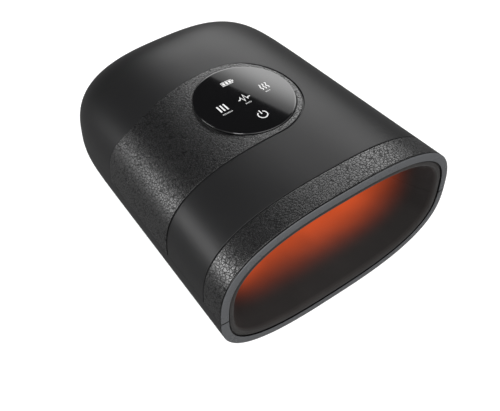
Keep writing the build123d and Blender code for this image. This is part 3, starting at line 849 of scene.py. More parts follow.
@dataclass(frozen=True)
class PebbledGrain(Finish):
    """Leather-look skin with small rounded pebbles and creases between them."""

    SURFACE = {"IOR": 1.6}

    # Painted shade: the creases' darker colour.
    crease: Colour = (0.003, 0.003, 0.0033)
    pitch: float = 0.0019
    depth: float = 0.0001
    lustre: Pair = (0.25, 1.0)
    crease_width: float = 0.13
    wrinkle_width: float = 0.2
    heights: tuple[float, float, float] = (0.42, 0.14, 0.44)

    def fill(self, pattern: Pattern) -> None:
        """Gives the skin its domed pebbles, finer wrinkles on them and narrow creases with painted shade."""
        inputs = {"Vector": pattern.place, "Scale": 0.55 / self.pitch}
        drift = pattern.add("ShaderNodeTexNoise", inputs, "Color")
        warped = pattern.scaled(drift, 0.9 * self.pitch, pattern.place)
        crease = pattern.within(pattern.cells(warped, self.pitch), 0.0, self.crease_width)
        small = pattern.within(pattern.cells(warped, self.pitch / 2.4), 0.0, self.wrinkle_width)
        reach = pattern.cells(warped, self.pitch, "F1")
        dome = pattern.minus(1.0, pattern.times(reach, reach))
        pebble, fine, rise = (pattern.times(*pair) for pair in zip((crease, small, dome), self.heights))
        # Painted shade: the creases are coloured darker and reflect less.
        pattern.paint(crease, self.crease, self.colour)
        pattern.set("Specular IOR Level", pattern.within(crease, 0.0, 1.0, *self.lustre))
        pattern.polish(pattern.times(crease, small), self.roughness + 0.2, self.roughness)
        pattern.relief(pattern.plus(pattern.plus(pebble, fine), rise), self.depth)


@dataclass(frozen=True)
class Gloss(Finish):
    """Smooth lacquer or glass with a hard reflection."""

    CLOUDS = (70.0, 6.0, 0.65)
    TONES = (0.9, 1.1)

    coat: float = 0.0
    ior: float = 1.5
    smears: Pair = (0.7, 1.5)

    def constants(self) -> dict[str, float]:
        """Gives the clear coat."""
        return {"IOR": self.ior, "Coat Weight": self.coat, "Coat Roughness": 0.02}

    def fill(self, pattern: Pattern) -> None:
        """Gives the surface the faint smears that a touched panel has."""
        pattern.polish(self.cloud(pattern), *(self.roughness * share for share in self.smears))


@dataclass(frozen=True)
class WarmKnit(Finish):
    """Fine knit over a heater, with a painted red glow: the cloth itself gives off red light, stronger deeper
    in. Metres.
    """

    SURFACE = {"Sheen Weight": 0.08, "Sheen Roughness": 0.45, "Specular IOR Level": 0.2}
    TONES = (0.55, 1.5)
    GLOSS = (0.08, -0.05)

    glow: Colour = (1.0, 0.12, 0.022)
    power: float = 0.54
    glow_reach: Pair = (-0.0886, -0.0576)
    glow_growth: float = 1.7
    hem: Pair = (-0.0952, -0.0937)
    # Painted light: the hem's colour is made lighter, standing in for light falling on it.
    hem_tone: float = 2.0
    left_side: Pair = (-0.074, -0.044)
    right_side: Pair = (0.04, 0.072)
    side_glow: Pair = (0.15, 0.6)
    wales: float = 430.0
    courses: float = 620.0
    loop_drift: float = 0.6
    loop_depth: float = 0.00008
    loop_tone: Pair = (0.55, 1.0)
    mottle: Pair = (45.0, 4.0)
    ruffle: Pair = (55.0, 3.0)
    ruffle_depth: float = 0.0006

    def fill(self, pattern: Pattern) -> None:
        """Gives the cloth its wales and courses, its tone, the hem's painted light and the painted glow by
        how deep it lies.
        """
        cloth = pattern.add("ShaderNodeAttribute", output="Vector", attribute_name="cloth")
        wales = pattern.bands(self.wales, Axis.X, self.loop_drift, cloth)
        knit = pattern.times(wales, pattern.bands(self.courses, Axis.Y, self.loop_drift, cloth))
        tone = pattern.times(pattern.noise(*self.mottle), pattern.within(knit, 0, 1, *self.loop_tone))
        across, along, _ = pattern.parts(pattern.place)
        # Painted light: the cloth's colour doubles at the hem, a lighter strip near the mouth.
        painted_hem_light = pattern.within(along, *self.hem, self.hem_tone, 1.0)
        plain = pattern.blend(tone, *self.tones())
        toned = pattern.add("ShaderNodeVectorMath", {0: plain, "Scale": painted_hem_light}, operation="SCALE")
        pattern.set("Base Color", toned)
        self.polish(pattern, knit)
        ruffle = pattern.relief(pattern.noise(*self.ruffle), self.ruffle_depth)
        pattern.relief(knit, self.loop_depth, ruffle)
        self.light(pattern, across, along)

    def light(self, pattern: Pattern, across: Socket, along: Socket) -> None:
        """Paints the red glow into the cloth as light of its own.

        Args:
            pattern: The material's tree.
            across: The place across the chamber.
            along: The place along it.
        """
        low, high = self.side_glow
        left = pattern.within(across, *self.left_side, low, 1.0)
        right = pattern.within(across, *self.right_side, 1.0, high)
        deep = pattern.math("POWER", pattern.within(along, *self.glow_reach), self.glow_growth)
        uneven = pattern.within(pattern.noise(26.0, 2.0), 0.25, 0.75, 0.75, 1.15)
        share = pattern.times(pattern.times(deep, pattern.times(left, right)), uneven)
        # Painted glow: the cloth gives off red light of its own, though it is no lamp.
        pattern.shader.inputs["Emission Color"].default_value = (*self.glow, 1)
        pattern.set("Emission Strength", pattern.times(share, self.power))


@dataclass(frozen=True)
class TurnedMetal(Finish):
    """Plated or turned metal with fine marks along one direction."""

    SURFACE = {"Metallic": 1.0}
    CLOUDS = (90.0, 5.0, 0.6)
    TONES = (0.8, 1.0)
    GLOSS = (-0.06, 0.16)

    along: Axis = Axis.X
    marks: float = 1500.0
    unevenness: float = 6.0
    depth: float = 0.000006

    def fill(self, pattern: Pattern) -> None:
        """Gives the metal its tool marks and a little tarnish."""
        marks = pattern.bands(self.marks, self.along, self.unevenness)
        self.polish(pattern, pattern.times(self.cloud(pattern), marks))
        pattern.relief(marks, self.depth)


@dataclass(frozen=True)
class Winding(Finish):
    """Enamelled wire wound in close turns, or a stack of thin sheets."""

    TONES = (0.45, 1.0)

    turn: float = 0.0004
    along: Axis = Axis.Z
    metal: float = 0.85

    def constants(self) -> dict[str, float]:
        """Gives the wire's metal and its enamel."""
        return {"Metallic": self.metal, "Coat Weight": 0.4, "Coat Roughness": 0.12}

    def fill(self, pattern: Pattern) -> None:
        """Gives the winding its turns."""
        turns = pattern.bands(math.pi / (10 * self.turn), self.along, 0.4)
        pattern.paint(turns, *self.tones())
        pattern.relief(turns, 0.3 * self.turn)


@dataclass(frozen=True)
class TracedFilm(Finish):
    """A film or board with printed tracks under its mask."""

    SURFACE = {"Coat Weight": 0.3, "Coat Roughness": 0.15}
    GLOSS = (-0.05, 0.08)

    track: Colour = (0.3, 0.2, 0.05)
    pitch: float = 0.003

    def fill(self, pattern: Pattern) -> None:
        """Gives the film its tracks and a slight mottle."""
        bands = pattern.bands(math.pi / (10 * self.pitch), Axis.X, 0.8)
        tracks = pattern.within(bands, 0.55, 0.7)
        pattern.paint(tracks, self.colour, self.track)
        self.polish(pattern, pattern.noise(120.0, 3.0))
        pattern.relief(tracks, 0.00004)


@dataclass(frozen=True)
class SoftRubber(Finish):
    """Matt rubber or silicone with a powdery, uneven surface and coarser pores."""

    CLOUDS = (140.0, 6.0, 0.7)
    TONES = (0.85, 1.2)
    GLOSS = (-0.08, 0.08)
    PORES = (1500.0, 3.0, 0.00003)

    cloudy: float = 0.0

    def constants(self) -> dict[str, float]:
        """Gives the light that soaks into the rubber."""
        return {"Subsurface Weight": self.cloudy, "Subsurface Scale": 0.002, "Sheen Weight": 0.15}


CASING_PAINT = SoftTouch("casing_paint", (0.0125, 0.0125, 0.013), 0.39)
RING_PAINT = PaintedFace("ring_paint", (0.089, 0.092, 0.097), 0.27)
GRAIN = PebbledGrain("grained_skin", (0.0036, 0.0036, 0.004), 0.25)
GLASS = Gloss("black_glass", (0.0035, 0.0035, 0.004), 0.03, ior=1.74)
PRINT = Finish("white_print", (0.78, 0.78, 0.78), 0.5)
KNIT = WarmKnit("lining_knit", (0.0145, 0.0135, 0.013), 0.8)
FOOT = SoftRubber("foot_rubber", (0.022, 0.022, 0.022), 0.7)
BAG = SoftRubber("bag_skin", (0.16, 0.16, 0.17), 0.45, 0.1)
STEEL = TurnedMetal("zinc_steel", (0.5, 0.5, 0.52), 0.3)
SPRING_WIRE = TurnedMetal("spring_wire", (0.55, 0.55, 0.57), 0.25, Axis.Z)

INNER_FINISHES: dict[str, Finish] = {
    "adhesive": SoftRubber("adhesive", (0.02, 0.02, 0.02), 0.6),
    "black_plastic": Finish("frame_plastic", (0.03, 0.03, 0.032), 0.5),
    "circuit_board": TracedFilm("solder_mask", (0.012, 0.09, 0.035), 0.35, (0.03, 0.17, 0.07), 0.0022),
    "white_led": Gloss("led_lens", (0.85, 0.85, 0.78), 0.1, 0.6),
    "ribbon_film": TracedFilm("ribbon_film", (0.5, 0.26, 0.05), 0.35, (0.3, 0.13, 0.03), 0.001),
    "screw_steel": STEEL,
    "bag_film": BAG,
    "plate_plastic": Finish("plate_plastic", (0.2, 0.2, 0.21), 0.5),
    "heater_film": TracedFilm("heater_film", (0.45, 0.21, 0.04), 0.35, (0.22, 0.09, 0.02), 0.004),
    "lining_fabric": KNIT,
    "motor_steel": TurnedMetal("motor_can", (0.52, 0.52, 0.52), 0.32),
    "magnet_ferrite": SoftRubber("ferrite", (0.07, 0.07, 0.075), 0.75),
    "bush_brass": TurnedMetal("turned_brass", (0.6, 0.44, 0.17), 0.25),
    "rotor_steel": Winding("rotor_stack", (0.4, 0.4, 0.42), 0.35, 0.0007, Axis.X, 1.0),
    "white_plastic": Finish("natural_nylon", (0.68, 0.67, 0.63), 0.45),
    "soft_rubber": SoftRubber("diaphragm_rubber", (0.03, 0.03, 0.03), 0.65),
    "coil_copper": Winding("coil_wire", (0.62, 0.27, 0.11), 0.3, 0.0005, Axis.Z),
    "silicone_hose": SoftRubber("hose_silicone", (0.6, 0.6, 0.57), 0.35, 0.5),
    "cell_wrap": Gloss("cell_wrap", (0.04, 0.14, 0.34), 0.28, 0.3),
    "lead_sleeve": Gloss("lead_sleeve", (0.3, 0.02, 0.02), 0.35, 0.2),
    "chip_plastic": Finish("chip_epoxy", (0.018, 0.018, 0.018), 0.55),
    "socket_steel": TurnedMetal("socket_shell", (0.6, 0.6, 0.6), 0.28, Axis.Y),
}


# Repeats made by node trees

FORM_INPUTS = ("Half width", "Crown", "Belly", "Length", "Width taper", "Corner power")
KINDS = {float: "NodeSocketFloat", int: "NodeSocketInt", bool: "NodeSocketBool", tuple: "NodeSocketVector"}


def start_tree(name: str, inputs: dict[str, object]) -> tuple[Wiring, Sequence[Socket]]:
    """Makes a geometry tree with named inputs.

    Args:
        name: The tree's name.
        inputs: The name and first value of each input between its geometry and its finish.

    Returns:
        The tree's wiring and what its inputs give.
    """
    tree = bpy.data.node_groups.new(name, "GeometryNodeTree")
    ways = [("Geometry", "INPUT", "NodeSocketGeometry")]
    ways += [(title, "INPUT", KINDS[type(value)]) for title, value in inputs.items()]
    ways += [("Finish", "INPUT", "NodeSocketMaterial"), ("Geometry", "OUTPUT", "NodeSocketGeometry")]
    for title, way, kind in ways:
        socket = tree.interface.new_socket(name=title, in_out=way, socket_type=kind)
        if title in inputs:
            socket.default_value = inputs[title]
    return Wiring(tree), tree.nodes.new("NodeGroupInput").outputs


def end_tree(wiring: Wiring, shape: Socket, finish: Socket) -> Tree:
    """Ends a geometry tree in real geometry with its finish.

    Args:
        wiring: The tree's wiring.
        shape: The geometry so far.
        finish: The tree's material input.

    Returns:
        The tree.
    """
    real = wiring.add("GeometryNodeRealizeInstances", {"Geometry": shape})
    dressed = wiring.add("GeometryNodeSetMaterial", {"Geometry": real, "Material": finish})
    wiring.feed(wiring.tree.nodes.new("NodeGroupOutput").inputs[0], dressed)
    return wiring.tree


def grow(name: str, seed: bpy.types.Mesh, tree: Tree, values: dict[str, object],
         sharp_degrees: float = CRISP) -> Piece:
    """Runs a geometry tree on a seed mesh and keeps the plain result.

    Args:
        name: The new object's name.
        seed: The mesh that goes in.
        tree: The geometry tree.
        values: The tree's inputs by name.
        sharp_degrees: Edges that turn more than this stay crisp.

    Returns:
        The linked object, with no modifier left.
    """
    piece = show(name, seed)
    modifier = piece.modifiers.new("form", "NODES")
    modifier.node_group = tree
    for item in tree.interface.items_tree:
        if item.in_out == "INPUT" and item.name in values:
            modifier[item.identifier] = values[item.name]
    piece.update_tag()
    mesh = applied(piece)
    bpy.data.meshes.remove(seed)
    clean(mesh)
    return link(name, mesh, sharp_degrees)


def seed_points(name: str, points: Sequence[Sequence[float]]) -> bpy.types.Mesh:
    """Makes a mesh of loose points for a tree to put things on."""
    mesh = bpy.data.meshes.new(name + "_seed")
    mesh.from_pydata([tuple(point) for point in points], [], [])
    return mesh


@cache
def section_tree() -> Tree:
    """Makes the tree that turns (angle, place along, inset) into the casing's form near the mouth."""
    sizes = dict.fromkeys(FORM_INPUTS, 1.0)
    wiring, given = start_tree("rounded box section", {**sizes, "Origin": (0.0, 0.0, 0.0)})
    times, minus, math_node = wiring.times, wiring.minus, wiring.math
    angle, along, inset = wiring.parts(wiring.add("GeometryNodeInputPosition"))
    exponent = math_node("DIVIDE", 2.0, given["Corner power"])

    def reach(plain: Socket) -> Socket:
        """Gives the signed power of a sine or cosine."""
        return times(math_node("POWER", math_node("ABSOLUTE", plain), exponent), math_node("SIGN", plain))

    across, up = math_node("COSINE", angle), math_node("SINE", angle)
    taper = minus(1.0, times(given["Width taper"], math_node("DIVIDE", along, given["Length"])))
    width = times(minus(given["Half width"], inset), taper)
    rise = times(math_node("GREATER_THAN", up, 0.0), minus(given["Crown"], given["Belly"]))
    tall = minus(wiring.plus(given["Belly"], rise), inset)
    joined = wiring.vector(times(reach(across), width), along, times(reach(up), tall))
    place = wiring.scaled(joined, MM, given["Origin"])
    moved = wiring.add("GeometryNodeSetPosition", {"Geometry": given["Geometry"], "Position": place})
    return end_tree(wiring, moved, given["Finish"])


@cache
def screw_tree() -> Tree:
    """Makes the tree that puts a cross-recessed screw on every point, its shank along +z or -z."""
    wiring, given = start_tree("cross recessed screws", {
        "Head radius": 0.0024, "Head height": 0.0015, "Shank radius": 0.00125, "Shank length": 0.0068,
        "Thread pitch": 0.0009, "Turned over": False})
    times = wiring.times
    head_radius, head_height = given["Head radius"], given["Head height"]
    radius, length = given["Shank radius"], given["Shank length"]

    def upright(radius: Socket, height: Socket, foot: object, sides: int) -> Socket:
        """Gives a capped cylinder that starts at a height."""
        made = wiring.add("GeometryNodeMeshCylinder", {"Vertices": sides, "Radius": radius, "Depth": height})
        return wiring.raised(made, wiring.plus(foot, times(height, 0.5)))

    below = times(head_height, -1.0)
    slots = []
    for wide, deep in ((0.28, 1.3), (1.3, 0.28)):
        size = wiring.vector(times(head_radius, wide), times(head_radius, deep), head_height)
        slots.append(wiring.raised(wiring.add("GeometryNodeMeshCube", {"Size": size}), times(below, 1.1)))
    blank = upright(head_radius, head_height, below, 28)
    head = wiring.add("GeometryNodeMeshBoolean", {"Mesh 1": blank, "Mesh 2": slots}, operation="DIFFERENCE")
    core = upright(times(radius, 0.8), length, 0.0, 20)
    turns = wiring.math("DIVIDE", length, given["Thread pitch"])
    thread = wiring.wound(times(radius, 0.84), times(length, 0.94), turns, times(radius, 0.14), 14, 4)
    whole = wiring.add("GeometryNodeJoinGeometry", {"Geometry": [head, core, thread]})
    lean = wiring.vector(times(given["Turned over"], math.pi))
    return end_tree(wiring, wiring.on_points(given["Geometry"], whole, lean), given["Finish"])


@cache
def coil_tree() -> Tree:
    """Makes the tree that winds a wire spring up from every point."""
    wiring, given = start_tree("wound spring", {
        "Radius": 0.00175, "Height": 0.0032, "Turns": 6.0, "Wire radius": 0.00022})
    spring = wiring.wound(given["Radius"], given["Height"], given["Turns"], given["Wire radius"], 40, 10)
    return end_tree(wiring, wiring.on_points(given["Geometry"], spring), given["Finish"])


@cache
def stroke_tree() -> Tree:
    """Makes the tree that prints a row of equal strokes, straight or wavy, beside each other on the glass."""
    wiring, given = start_tree("repeated strokes", {
        "Count": 3, "Pitch": 0.003, "Width": 0.0006, "Length": 0.004, "Wave": 0.0, "Thickness": 0.00005})
    times = wiring.times
    start, end = (wiring.vector(y=times(given["Length"], share)) for share in (-0.5, 0.5))
    line = wiring.add("GeometryNodeCurvePrimitiveLine", {"Start": start, "End": end})
    fine = wiring.add("GeometryNodeResampleCurve", {"Curve": line, "Count": 25})
    share = wiring.add("GeometryNodeSplineParameter", output="Factor")
    sway = wiring.vector(times(wiring.math("SINE", times(share, 3 * math.pi)), given["Wave"]))
    waved = wiring.add("GeometryNodeSetPosition", {"Geometry": fine, "Offset": sway})
    nib = wiring.add("GeometryNodeCurvePrimitiveQuadrilateral", {
        "Width": given["Width"], "Height": given["Thickness"]})
    steps = {"Count": given["Count"], "Offset": wiring.vector(given["Pitch"])}
    row = wiring.add("GeometryNodeMeshLine", steps, mode="OFFSET")
    beside = wiring.on_points(row, wiring.swept(waved, nib))
    return end_tree(wiring, wiring.on_points(given["Geometry"], beside), given["Finish"])


# The object's sub-assemblies


def dress(piece: Piece, finish: Finish, body: str, slot: str, *nodes: str) -> None:
    """Gives a piece its finish, its body and the nodes it stands for.

    Args:
        piece: The piece, in place.
        finish: Its finish.
        body: The body it moves with, or nothing where it is attached to none.
        slot: The material slot's name; not used.
        nodes: The nodes it replaces.
    """
    piece.data.materials.clear()
    piece.data.materials.append(finish.material())
    if body:
        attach(piece, body)
    if nodes:
        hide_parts(*nodes)
    log.info("%s: %d faces, %s", piece.name, len(piece.data.polygons), finish.name)


@dataclass(frozen=True)
class TongueLayout:
    """Where the grained tongue runs: from the left parting line, round the control disc and back."""

    skin: Skin
    disc_y: float = 92.9
    radius: float = 35.3
    dip: float = 5.6
    dip_start: float = 8.0
    dip_middle: float = 62.0
    dip_end: float = 80.0
    dip_power: float = 4.0
    flush_from: float = 0.82
    turns: int = 48
    columns: int = 48
    rounds: int = 4

    def turn(self) -> Array:
        """Gives the rows' angles round the disc, from its front to its rear."""
        return np.linspace(0, math.pi, self.turns + 1)

    def rearward(self) -> Array:
        """Gives the rows' shares of the way from the disc's front to its rear."""
        return (1 - np.cos(self.turn())) / 2

    def edge(self, front: float, rear: float) -> Array:
        """Gives a size for each row that goes from its front value to its rear value near the rear."""
        return front + (rear - front) * eased((self.rearward() - self.flush_from) / (1 - self.flush_from))

    def dip_at(self, x: Array) -> Array:
        """Gives how far the rear edge dips towards the mouth at x."""
        rise = eased((-x - self.dip_start) / (self.dip_middle - self.dip_start))
        return self.dip * (rise - eased((-x - self.dip_middle) / (self.dip_end - self.dip_middle)))

    def circle(self, margin: Array, side: float) -> tuple[Array, Array]:
        """Gives x and y round one side of the disc, a margin outside the tongue's radius."""
        reach = self.radius + margin
        return side * reach * np.sin(self.turn()), self.disc_y - reach * np.cos(self.turn())

    def ring(self, radius: float) -> tuple[Array, Array]:
        """Gives x and y all round a circle about the disc's middle."""
        turn = np.concatenate([self.turn(), -self.turn()[1:-1][::-1]])
        return radius * np.sin(turn), self.disc_y - radius * np.cos(turn)

    def strip_plan(self, margin: Array) -> tuple[Array, Array]:
        """Gives shares and places along for the rows from the left parting line to the disc.

        Args:
            margin: How far the edges lie outside the tongue, for each row.

        Returns:
            Shares across the half and places along it.
        """
        centre_x, base_y = self.circle(margin, -1.0)
        end = self.skin.share_of(centre_x, base_y)
        shares = end[:, None] * np.linspace(0, 1, self.columns + 1)
        weight = self.rearward() ** self.dip_power
        y = np.repeat(base_y[:, None], self.columns + 1, axis=1)
        for _ in range(self.rounds):
            x = self.skin.place(shares, y)[..., 0] / MM
            near = np.minimum((centre_x[:, None] / np.minimum(x, -TINY)) ** 2, 1)
            y = base_y[:, None] - self.dip_at(x) * weight[:, None] * (1 - near)
        return shares, y

    def strip(self, margin: Array, depth: Array) -> Array:
        """Gives the points of those rows, each row at its own depth."""
        shares, y = self.strip_plan(margin)
        return self.skin.place(shares, y, depth[:, None])

    def arc(self, margin: Array, depth: Array, side: float = 1.0) -> Array:
        """Gives the points round one side of the disc."""
        x, y = self.circle(margin, side)
        return self.skin.place(self.skin.share_of(x, y), y, depth)

    def chain(self, margin: Array, depth: Array) -> Array:
        """Gives the line of points all along the tongue's edge, from parting line to parting line."""
        strip = self.strip(margin, depth)
        return np.concatenate([strip[0], self.arc(margin, depth)[1:-1], strip[-1][::-1]])

    def loop(self, margin: Array, depth: Array) -> Array:
        """Gives the closed ring of points round the disc."""
        left = self.arc(margin, depth, -1.0)
        return np.concatenate([self.arc(margin, depth), left[1:-1][::-1]])

    def bore(self, radius: float, depth: float) -> Array:
        """Gives a ring of points exactly over a circle in plan.

        Args:
            radius: The circle's radius.
            depth: How far under the surface the points lie.

        Returns:
            The points.
        """
        goal_x, goal_y = self.ring(radius)
        x, y = goal_x, goal_y
        for _ in range(self.rounds):
            points = (self.skin.place(self.skin.share_of(x, y), y, depth) - np.array(self.skin.origin)) / MM
            x, y = x + goal_x - points[:, 0], y + goal_y - points[:, 1]
        return self.skin.place(self.skin.share_of(x, y), y, depth)


@dataclass
class CasingPart:
    """A sub-assembly that is laid out in the casing's millimetres, from the casing's origin at the mouth."""

    origin: Vector
    form: CasingForm = CasingForm()

    @property
    def layout(self) -> TongueLayout:
        """Gives where the grained tongue runs on this casing."""
        return TongueLayout(Skin(self.form, Side.UPPER, self.origin))

    def to_frame(self, points: Array) -> Array:
        """Turns the casing's millimetres into the frame's metres."""
        return to_frame(points, self.origin)

    def at(self, x: float, y: float, z: float = 0.0) -> Vector:
        """Gives a place in the frame."""
        return self.origin + Vector((x, y, z)) * MM


@dataclass
class Casing(CasingPart):
    """The painted clamshell in two halves, with the trim's recess, the glass well and the lower wells."""

    wall: float = 2.4
    start: float = 1.6
    band_end: float = 18.8
    recess: float = 0.9
    roll: float = 0.3
    rear_roll: float = 0.08
    edge_row: float = 0.3
    front_gap: float = 1.0
    inner_front: float = 56.0
    well: float = 31.0
    boss: float = 33.0
    window: float = 26.7
    ledge_z: float = 47.1
    ledge_under_z: float = 44.7
    columns: int = 50
    close: Pair = (0.006, 0.022)
    near: Pair = (0.005, 0.02)
    rear_steps: int = 38
    recess_rows: int = 8
    front_rows: int = 16
    lower_rows: int = 60
    lower_columns: int = 104
    foot_well: float = 7.15
    foot_boss: float = 8.9
    foot_top: float = -39.6
    foot_roof: float = 2.0
    screw_well: float = 2.7
    screw_floor: float = -14.75
    screw_boss: float = 3.6
    screw_bore: float = 1.3
    short: float = 0.01
    overrun: float = 6.0
    inlet: Pair = (9.54, 3.86)
    inlet_z: float = -13.65
    inlet_depth: float = 8.2
    inlet_steps: int = 36

    def across(self) -> Array:
        """Gives the shares across the right part of a row, closer together beside the tongue."""
        return np.concatenate([[0, self.close[0]], np.linspace(self.close[1], 1, self.columns - 1)])

    def rear_rows(self) -> Array:
        """Gives the shares of the way from the tongue to the rear face."""
        return np.concatenate([[0, self.near[0]], np.linspace(self.near[1], 1, self.rear_steps)])

    def shares(self) -> Array:
        """Gives the shares across a whole row."""
        return np.concatenate([np.linspace(0, 0.5, self.layout.columns + 1), 0.5 + 0.5 * self.across()[1:]])

    def around(self, margin: Array, depth: float, first: Sequence[float]) -> list[Array]:
        """Gives the surface round the tongue in patches.

        Args:
            margin: How far the patches' edge lies outside the tongue, for each row round the disc.
            depth: How far under the surface the patches lie.
            first: Places along the casing of the rows before the tongue.

        Returns:
            The patch before the tongue, the one beside the disc, the one behind and the rear face.
        """
        layout, right, shares = self.layout, self.across(), self.shares()
        skin = layout.skin
        front_y = layout.disc_y - layout.radius - margin[0]
        rows = np.array([*first, front_y - self.edge_row, front_y])
        before = skin.place(shares[None], rows[:, None], depth)
        x, y = layout.circle(margin, 1.0)
        begin = skin.share_of(x, y)[:, None]
        beside = skin.place(begin + (1 - begin) * right, np.repeat(y[:, None], len(right), 1), depth)
        _, strip_y = layout.strip_plan(margin)
        first_y = np.concatenate([strip_y[-1], np.full(len(right) - 1, y[-1])])
        start = self.form.share_at(first_y)
        places = self.form.along(start[None] + (1 - start[None]) * self.rear_rows()[:, None])
        places[0] = first_y
        behind = skin.place(np.broadcast_to(shares, places.shape), places, depth)
        return [before, beside, behind, np.concatenate([behind[-1:], skin.rear_face(shares, depth)])]

    def front_step(self, turned: Pairs) -> Array:
        """Gives the recess of the grained strip and its rolled rear edge.

        Args:
            turned: The rolled edge, as rounded() gives it.

        Returns:
            The rows of points.
        """
        rows = [(y, self.recess) for y in np.linspace(self.start, self.band_end, self.recess_rows)]
        rows += [(self.band_end + self.roll - out, drop) for out, drop in reversed(turned)]
        places, depths = np.array(rows).T[..., None]
        return self.layout.skin.place(self.shares()[None], places, depths)

    def upper(self) -> Piece:
        """Builds the upper half."""
        layout, sheet = self.layout, Sheet()
        roll = layout.edge(self.roll, self.rear_roll)
        none = np.zeros_like(roll)
        turned = rounded(self.roll)
        panel_start = self.band_end + self.roll
        panel_end = layout.disc_y - layout.radius - self.front_gap
        panel = [panel_start, *np.linspace(panel_start + self.edge_row, panel_end, self.front_rows)]
        step = self.front_step(turned)
        outer = self.around(roll, 0.0, panel)
        inner = self.around(none, self.wall, np.linspace(self.start, self.inner_front, self.front_rows))
        lips = [layout.chain(roll * (1 - out / self.roll), roll * drop / self.roll)
                for out, drop in turned]
        lips = np.stack([*lips, layout.chain(none, none + self.recess)])
        floor, under = (layout.strip(none, none + depth) for depth in (self.recess, self.wall))
        sheet.patch(step, *outer, *inner, lips, floor, under, np.stack([step[0], inner[0][0]]))
        holes = [layout.bore(self.well, self.recess), layout.bore(self.boss, self.wall)]
        for depth, hole in zip((self.recess, self.wall), holes):
            sheet.patch(np.stack([layout.loop(none, none + depth), hole]), closed=True)
        ledge = [self.level_ring(radius, z) for radius, z in (
            (self.well, self.ledge_z), (self.window, self.ledge_z), (self.window, self.ledge_under_z),
            (self.boss, self.ledge_under_z))]
        sheet.patch(np.stack([holes[0], *ledge, holes[1]]), closed=True)
        before, beside, behind, face = outer
        left = [step[:, 0], before[1:, 0], lips[1:, 0], floor[1:, 0], lips[::-1][1:, -1], behind[1:, 0],
                face[1:, 0]]
        inner_left = [inner[0][:, 0], under[1:, 0], inner[2][1:, 0], inner[3][1:, 0]]
        right = [step[:, -1], before[1:, -1], beside[1:, -1], behind[1:, -1], face[1:, -1]]
        inner_right = [inner[0][:, -1], *(patch[1:, -1] for patch in inner[1:])]
        sheet.rim(np.concatenate(left), np.concatenate(inner_left))
        sheet.rim(np.concatenate(right), np.concatenate(inner_right))
        return sheet.build("upper_casing")

    def level_ring(self, radius: float, z: float) -> Array:
        """Gives a level ring of points round the control disc's middle."""
        x, y = self.layout.ring(radius)
        return self.to_frame(np.stack([x, y, np.full_like(x, z)], axis=-1))

    def half_rows(self, depth: float, rows: int, across: int) -> Array:
        """Gives the whole lower half's points, to the middle of the rear face.

        Args:
            depth: How far under the surface they lie.
            rows: Rows along the casing.
            across: Points in each row.

        Returns:
            The rows of points.
        """
        skin = Skin(self.form, Side.LOWER, self.origin)
        shares = np.linspace(0, 1, across)
        first = float(self.form.share_at(np.array([self.start]))[0])
        places = self.form.along(first + (1 - first) * np.linspace(0, 1, rows))
        places[0] = self.start
        body = skin.place(shares[None], places[:, None], depth)
        return np.concatenate([body, skin.rear_face(shares, depth)])

    def pillars(self, places: Sequence[Vector], radius: float, low: float, high: float,
                steps: int = 40) -> list[Piece]:
        """Gives an upright solid cylinder at each place, in the casing's millimetres."""
        profile = [(0, low), (radius, low), (radius, high), (0, high)]
        return [lathe("pillar", profile, self.at(place.x, place.y), steps=steps) for place in places]

    def filling(self) -> Piece:
        """Gives the lower half's room, out to the middle of its wall, to trim the bosses."""
        middle = self.half_rows(self.wall / 2, 40, 72)
        fill = Sheet()
        fill.patch(middle, np.stack([middle[:, end] for end in ENDS]))
        fill.face(middle[0])
        return fill.build("fill")

    def lower(self) -> Piece:
        """Builds the lower half and opens its wells and its charging inlet."""
        outer, inner = (self.half_rows(depth, self.lower_rows, self.lower_columns)
                        for depth in (0.0, self.wall))
        shell = Sheet()
        edges = [np.stack([face[:, end] for face in (outer, inner)]) for end in ENDS]
        shell.patch(outer, inner, np.stack([outer[0], inner[0]]), *edges)
        piece = shell.build("lower_casing")
        feet = [(middle_of(*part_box(node)) - self.origin) / MM for node in Underside.FEET]
        screws = [(middle_of(*box) - self.origin) / MM for box in islands("case_screws")]
        level, low = self.form.lower_seam, -self.form.belly - self.overrun
        boss = join("bosses", [
            *self.pillars(feet, self.foot_boss, low, self.foot_top + self.foot_roof),
            *self.pillars(screws, self.screw_boss, low, level - self.short)])
        fill = self.filling()
        combine(boss, "INTERSECT", fill)
        combine(piece, "UNION", boss)
        wells = [
            *self.pillars(feet, self.foot_well, low, self.foot_top, 56),
            *self.pillars(screws, self.screw_well, low, self.screw_floor, 32),
            *self.pillars(screws, self.screw_bore, self.screw_floor - 1, level + 1, 20), self.inlet_cutter()]
        cut(piece, wells, 32.0)
        bpy.data.objects.remove(fill)
        bpy.data.objects.remove(boss)
        return piece

    def inlet_cutter(self) -> Piece:
        """Gives the rounded bar that opens the charging inlet in the rear."""
        width, height = self.inlet
        turn = np.linspace(0, 2 * math.pi, self.inlet_steps, endpoint=False)
        x = np.cos(turn) * height / 2 + np.sign(np.cos(turn)) * (width - height) / 2
        z = np.sin(turn) * height / 2 + self.inlet_z
        ends = [self.to_frame(np.stack([x, np.full_like(x, self.form.length + reach), z], axis=-1))
                for reach in (-self.inlet_depth, self.overrun)]
        sheet = Sheet()
        sheet.patch(np.stack(ends), closed=True)
        for end in ends:
            sheet.face(end)
        return sheet.build("inlet")

    def build(self) -> None:
        """Builds and dresses both halves."""
        dress(self.upper(), CASING_PAINT, "casing", "soft_touch_casing", "upper_shell")
        dress(self.lower(), CASING_PAINT, "casing", "soft_touch_casing", "lower_shell")


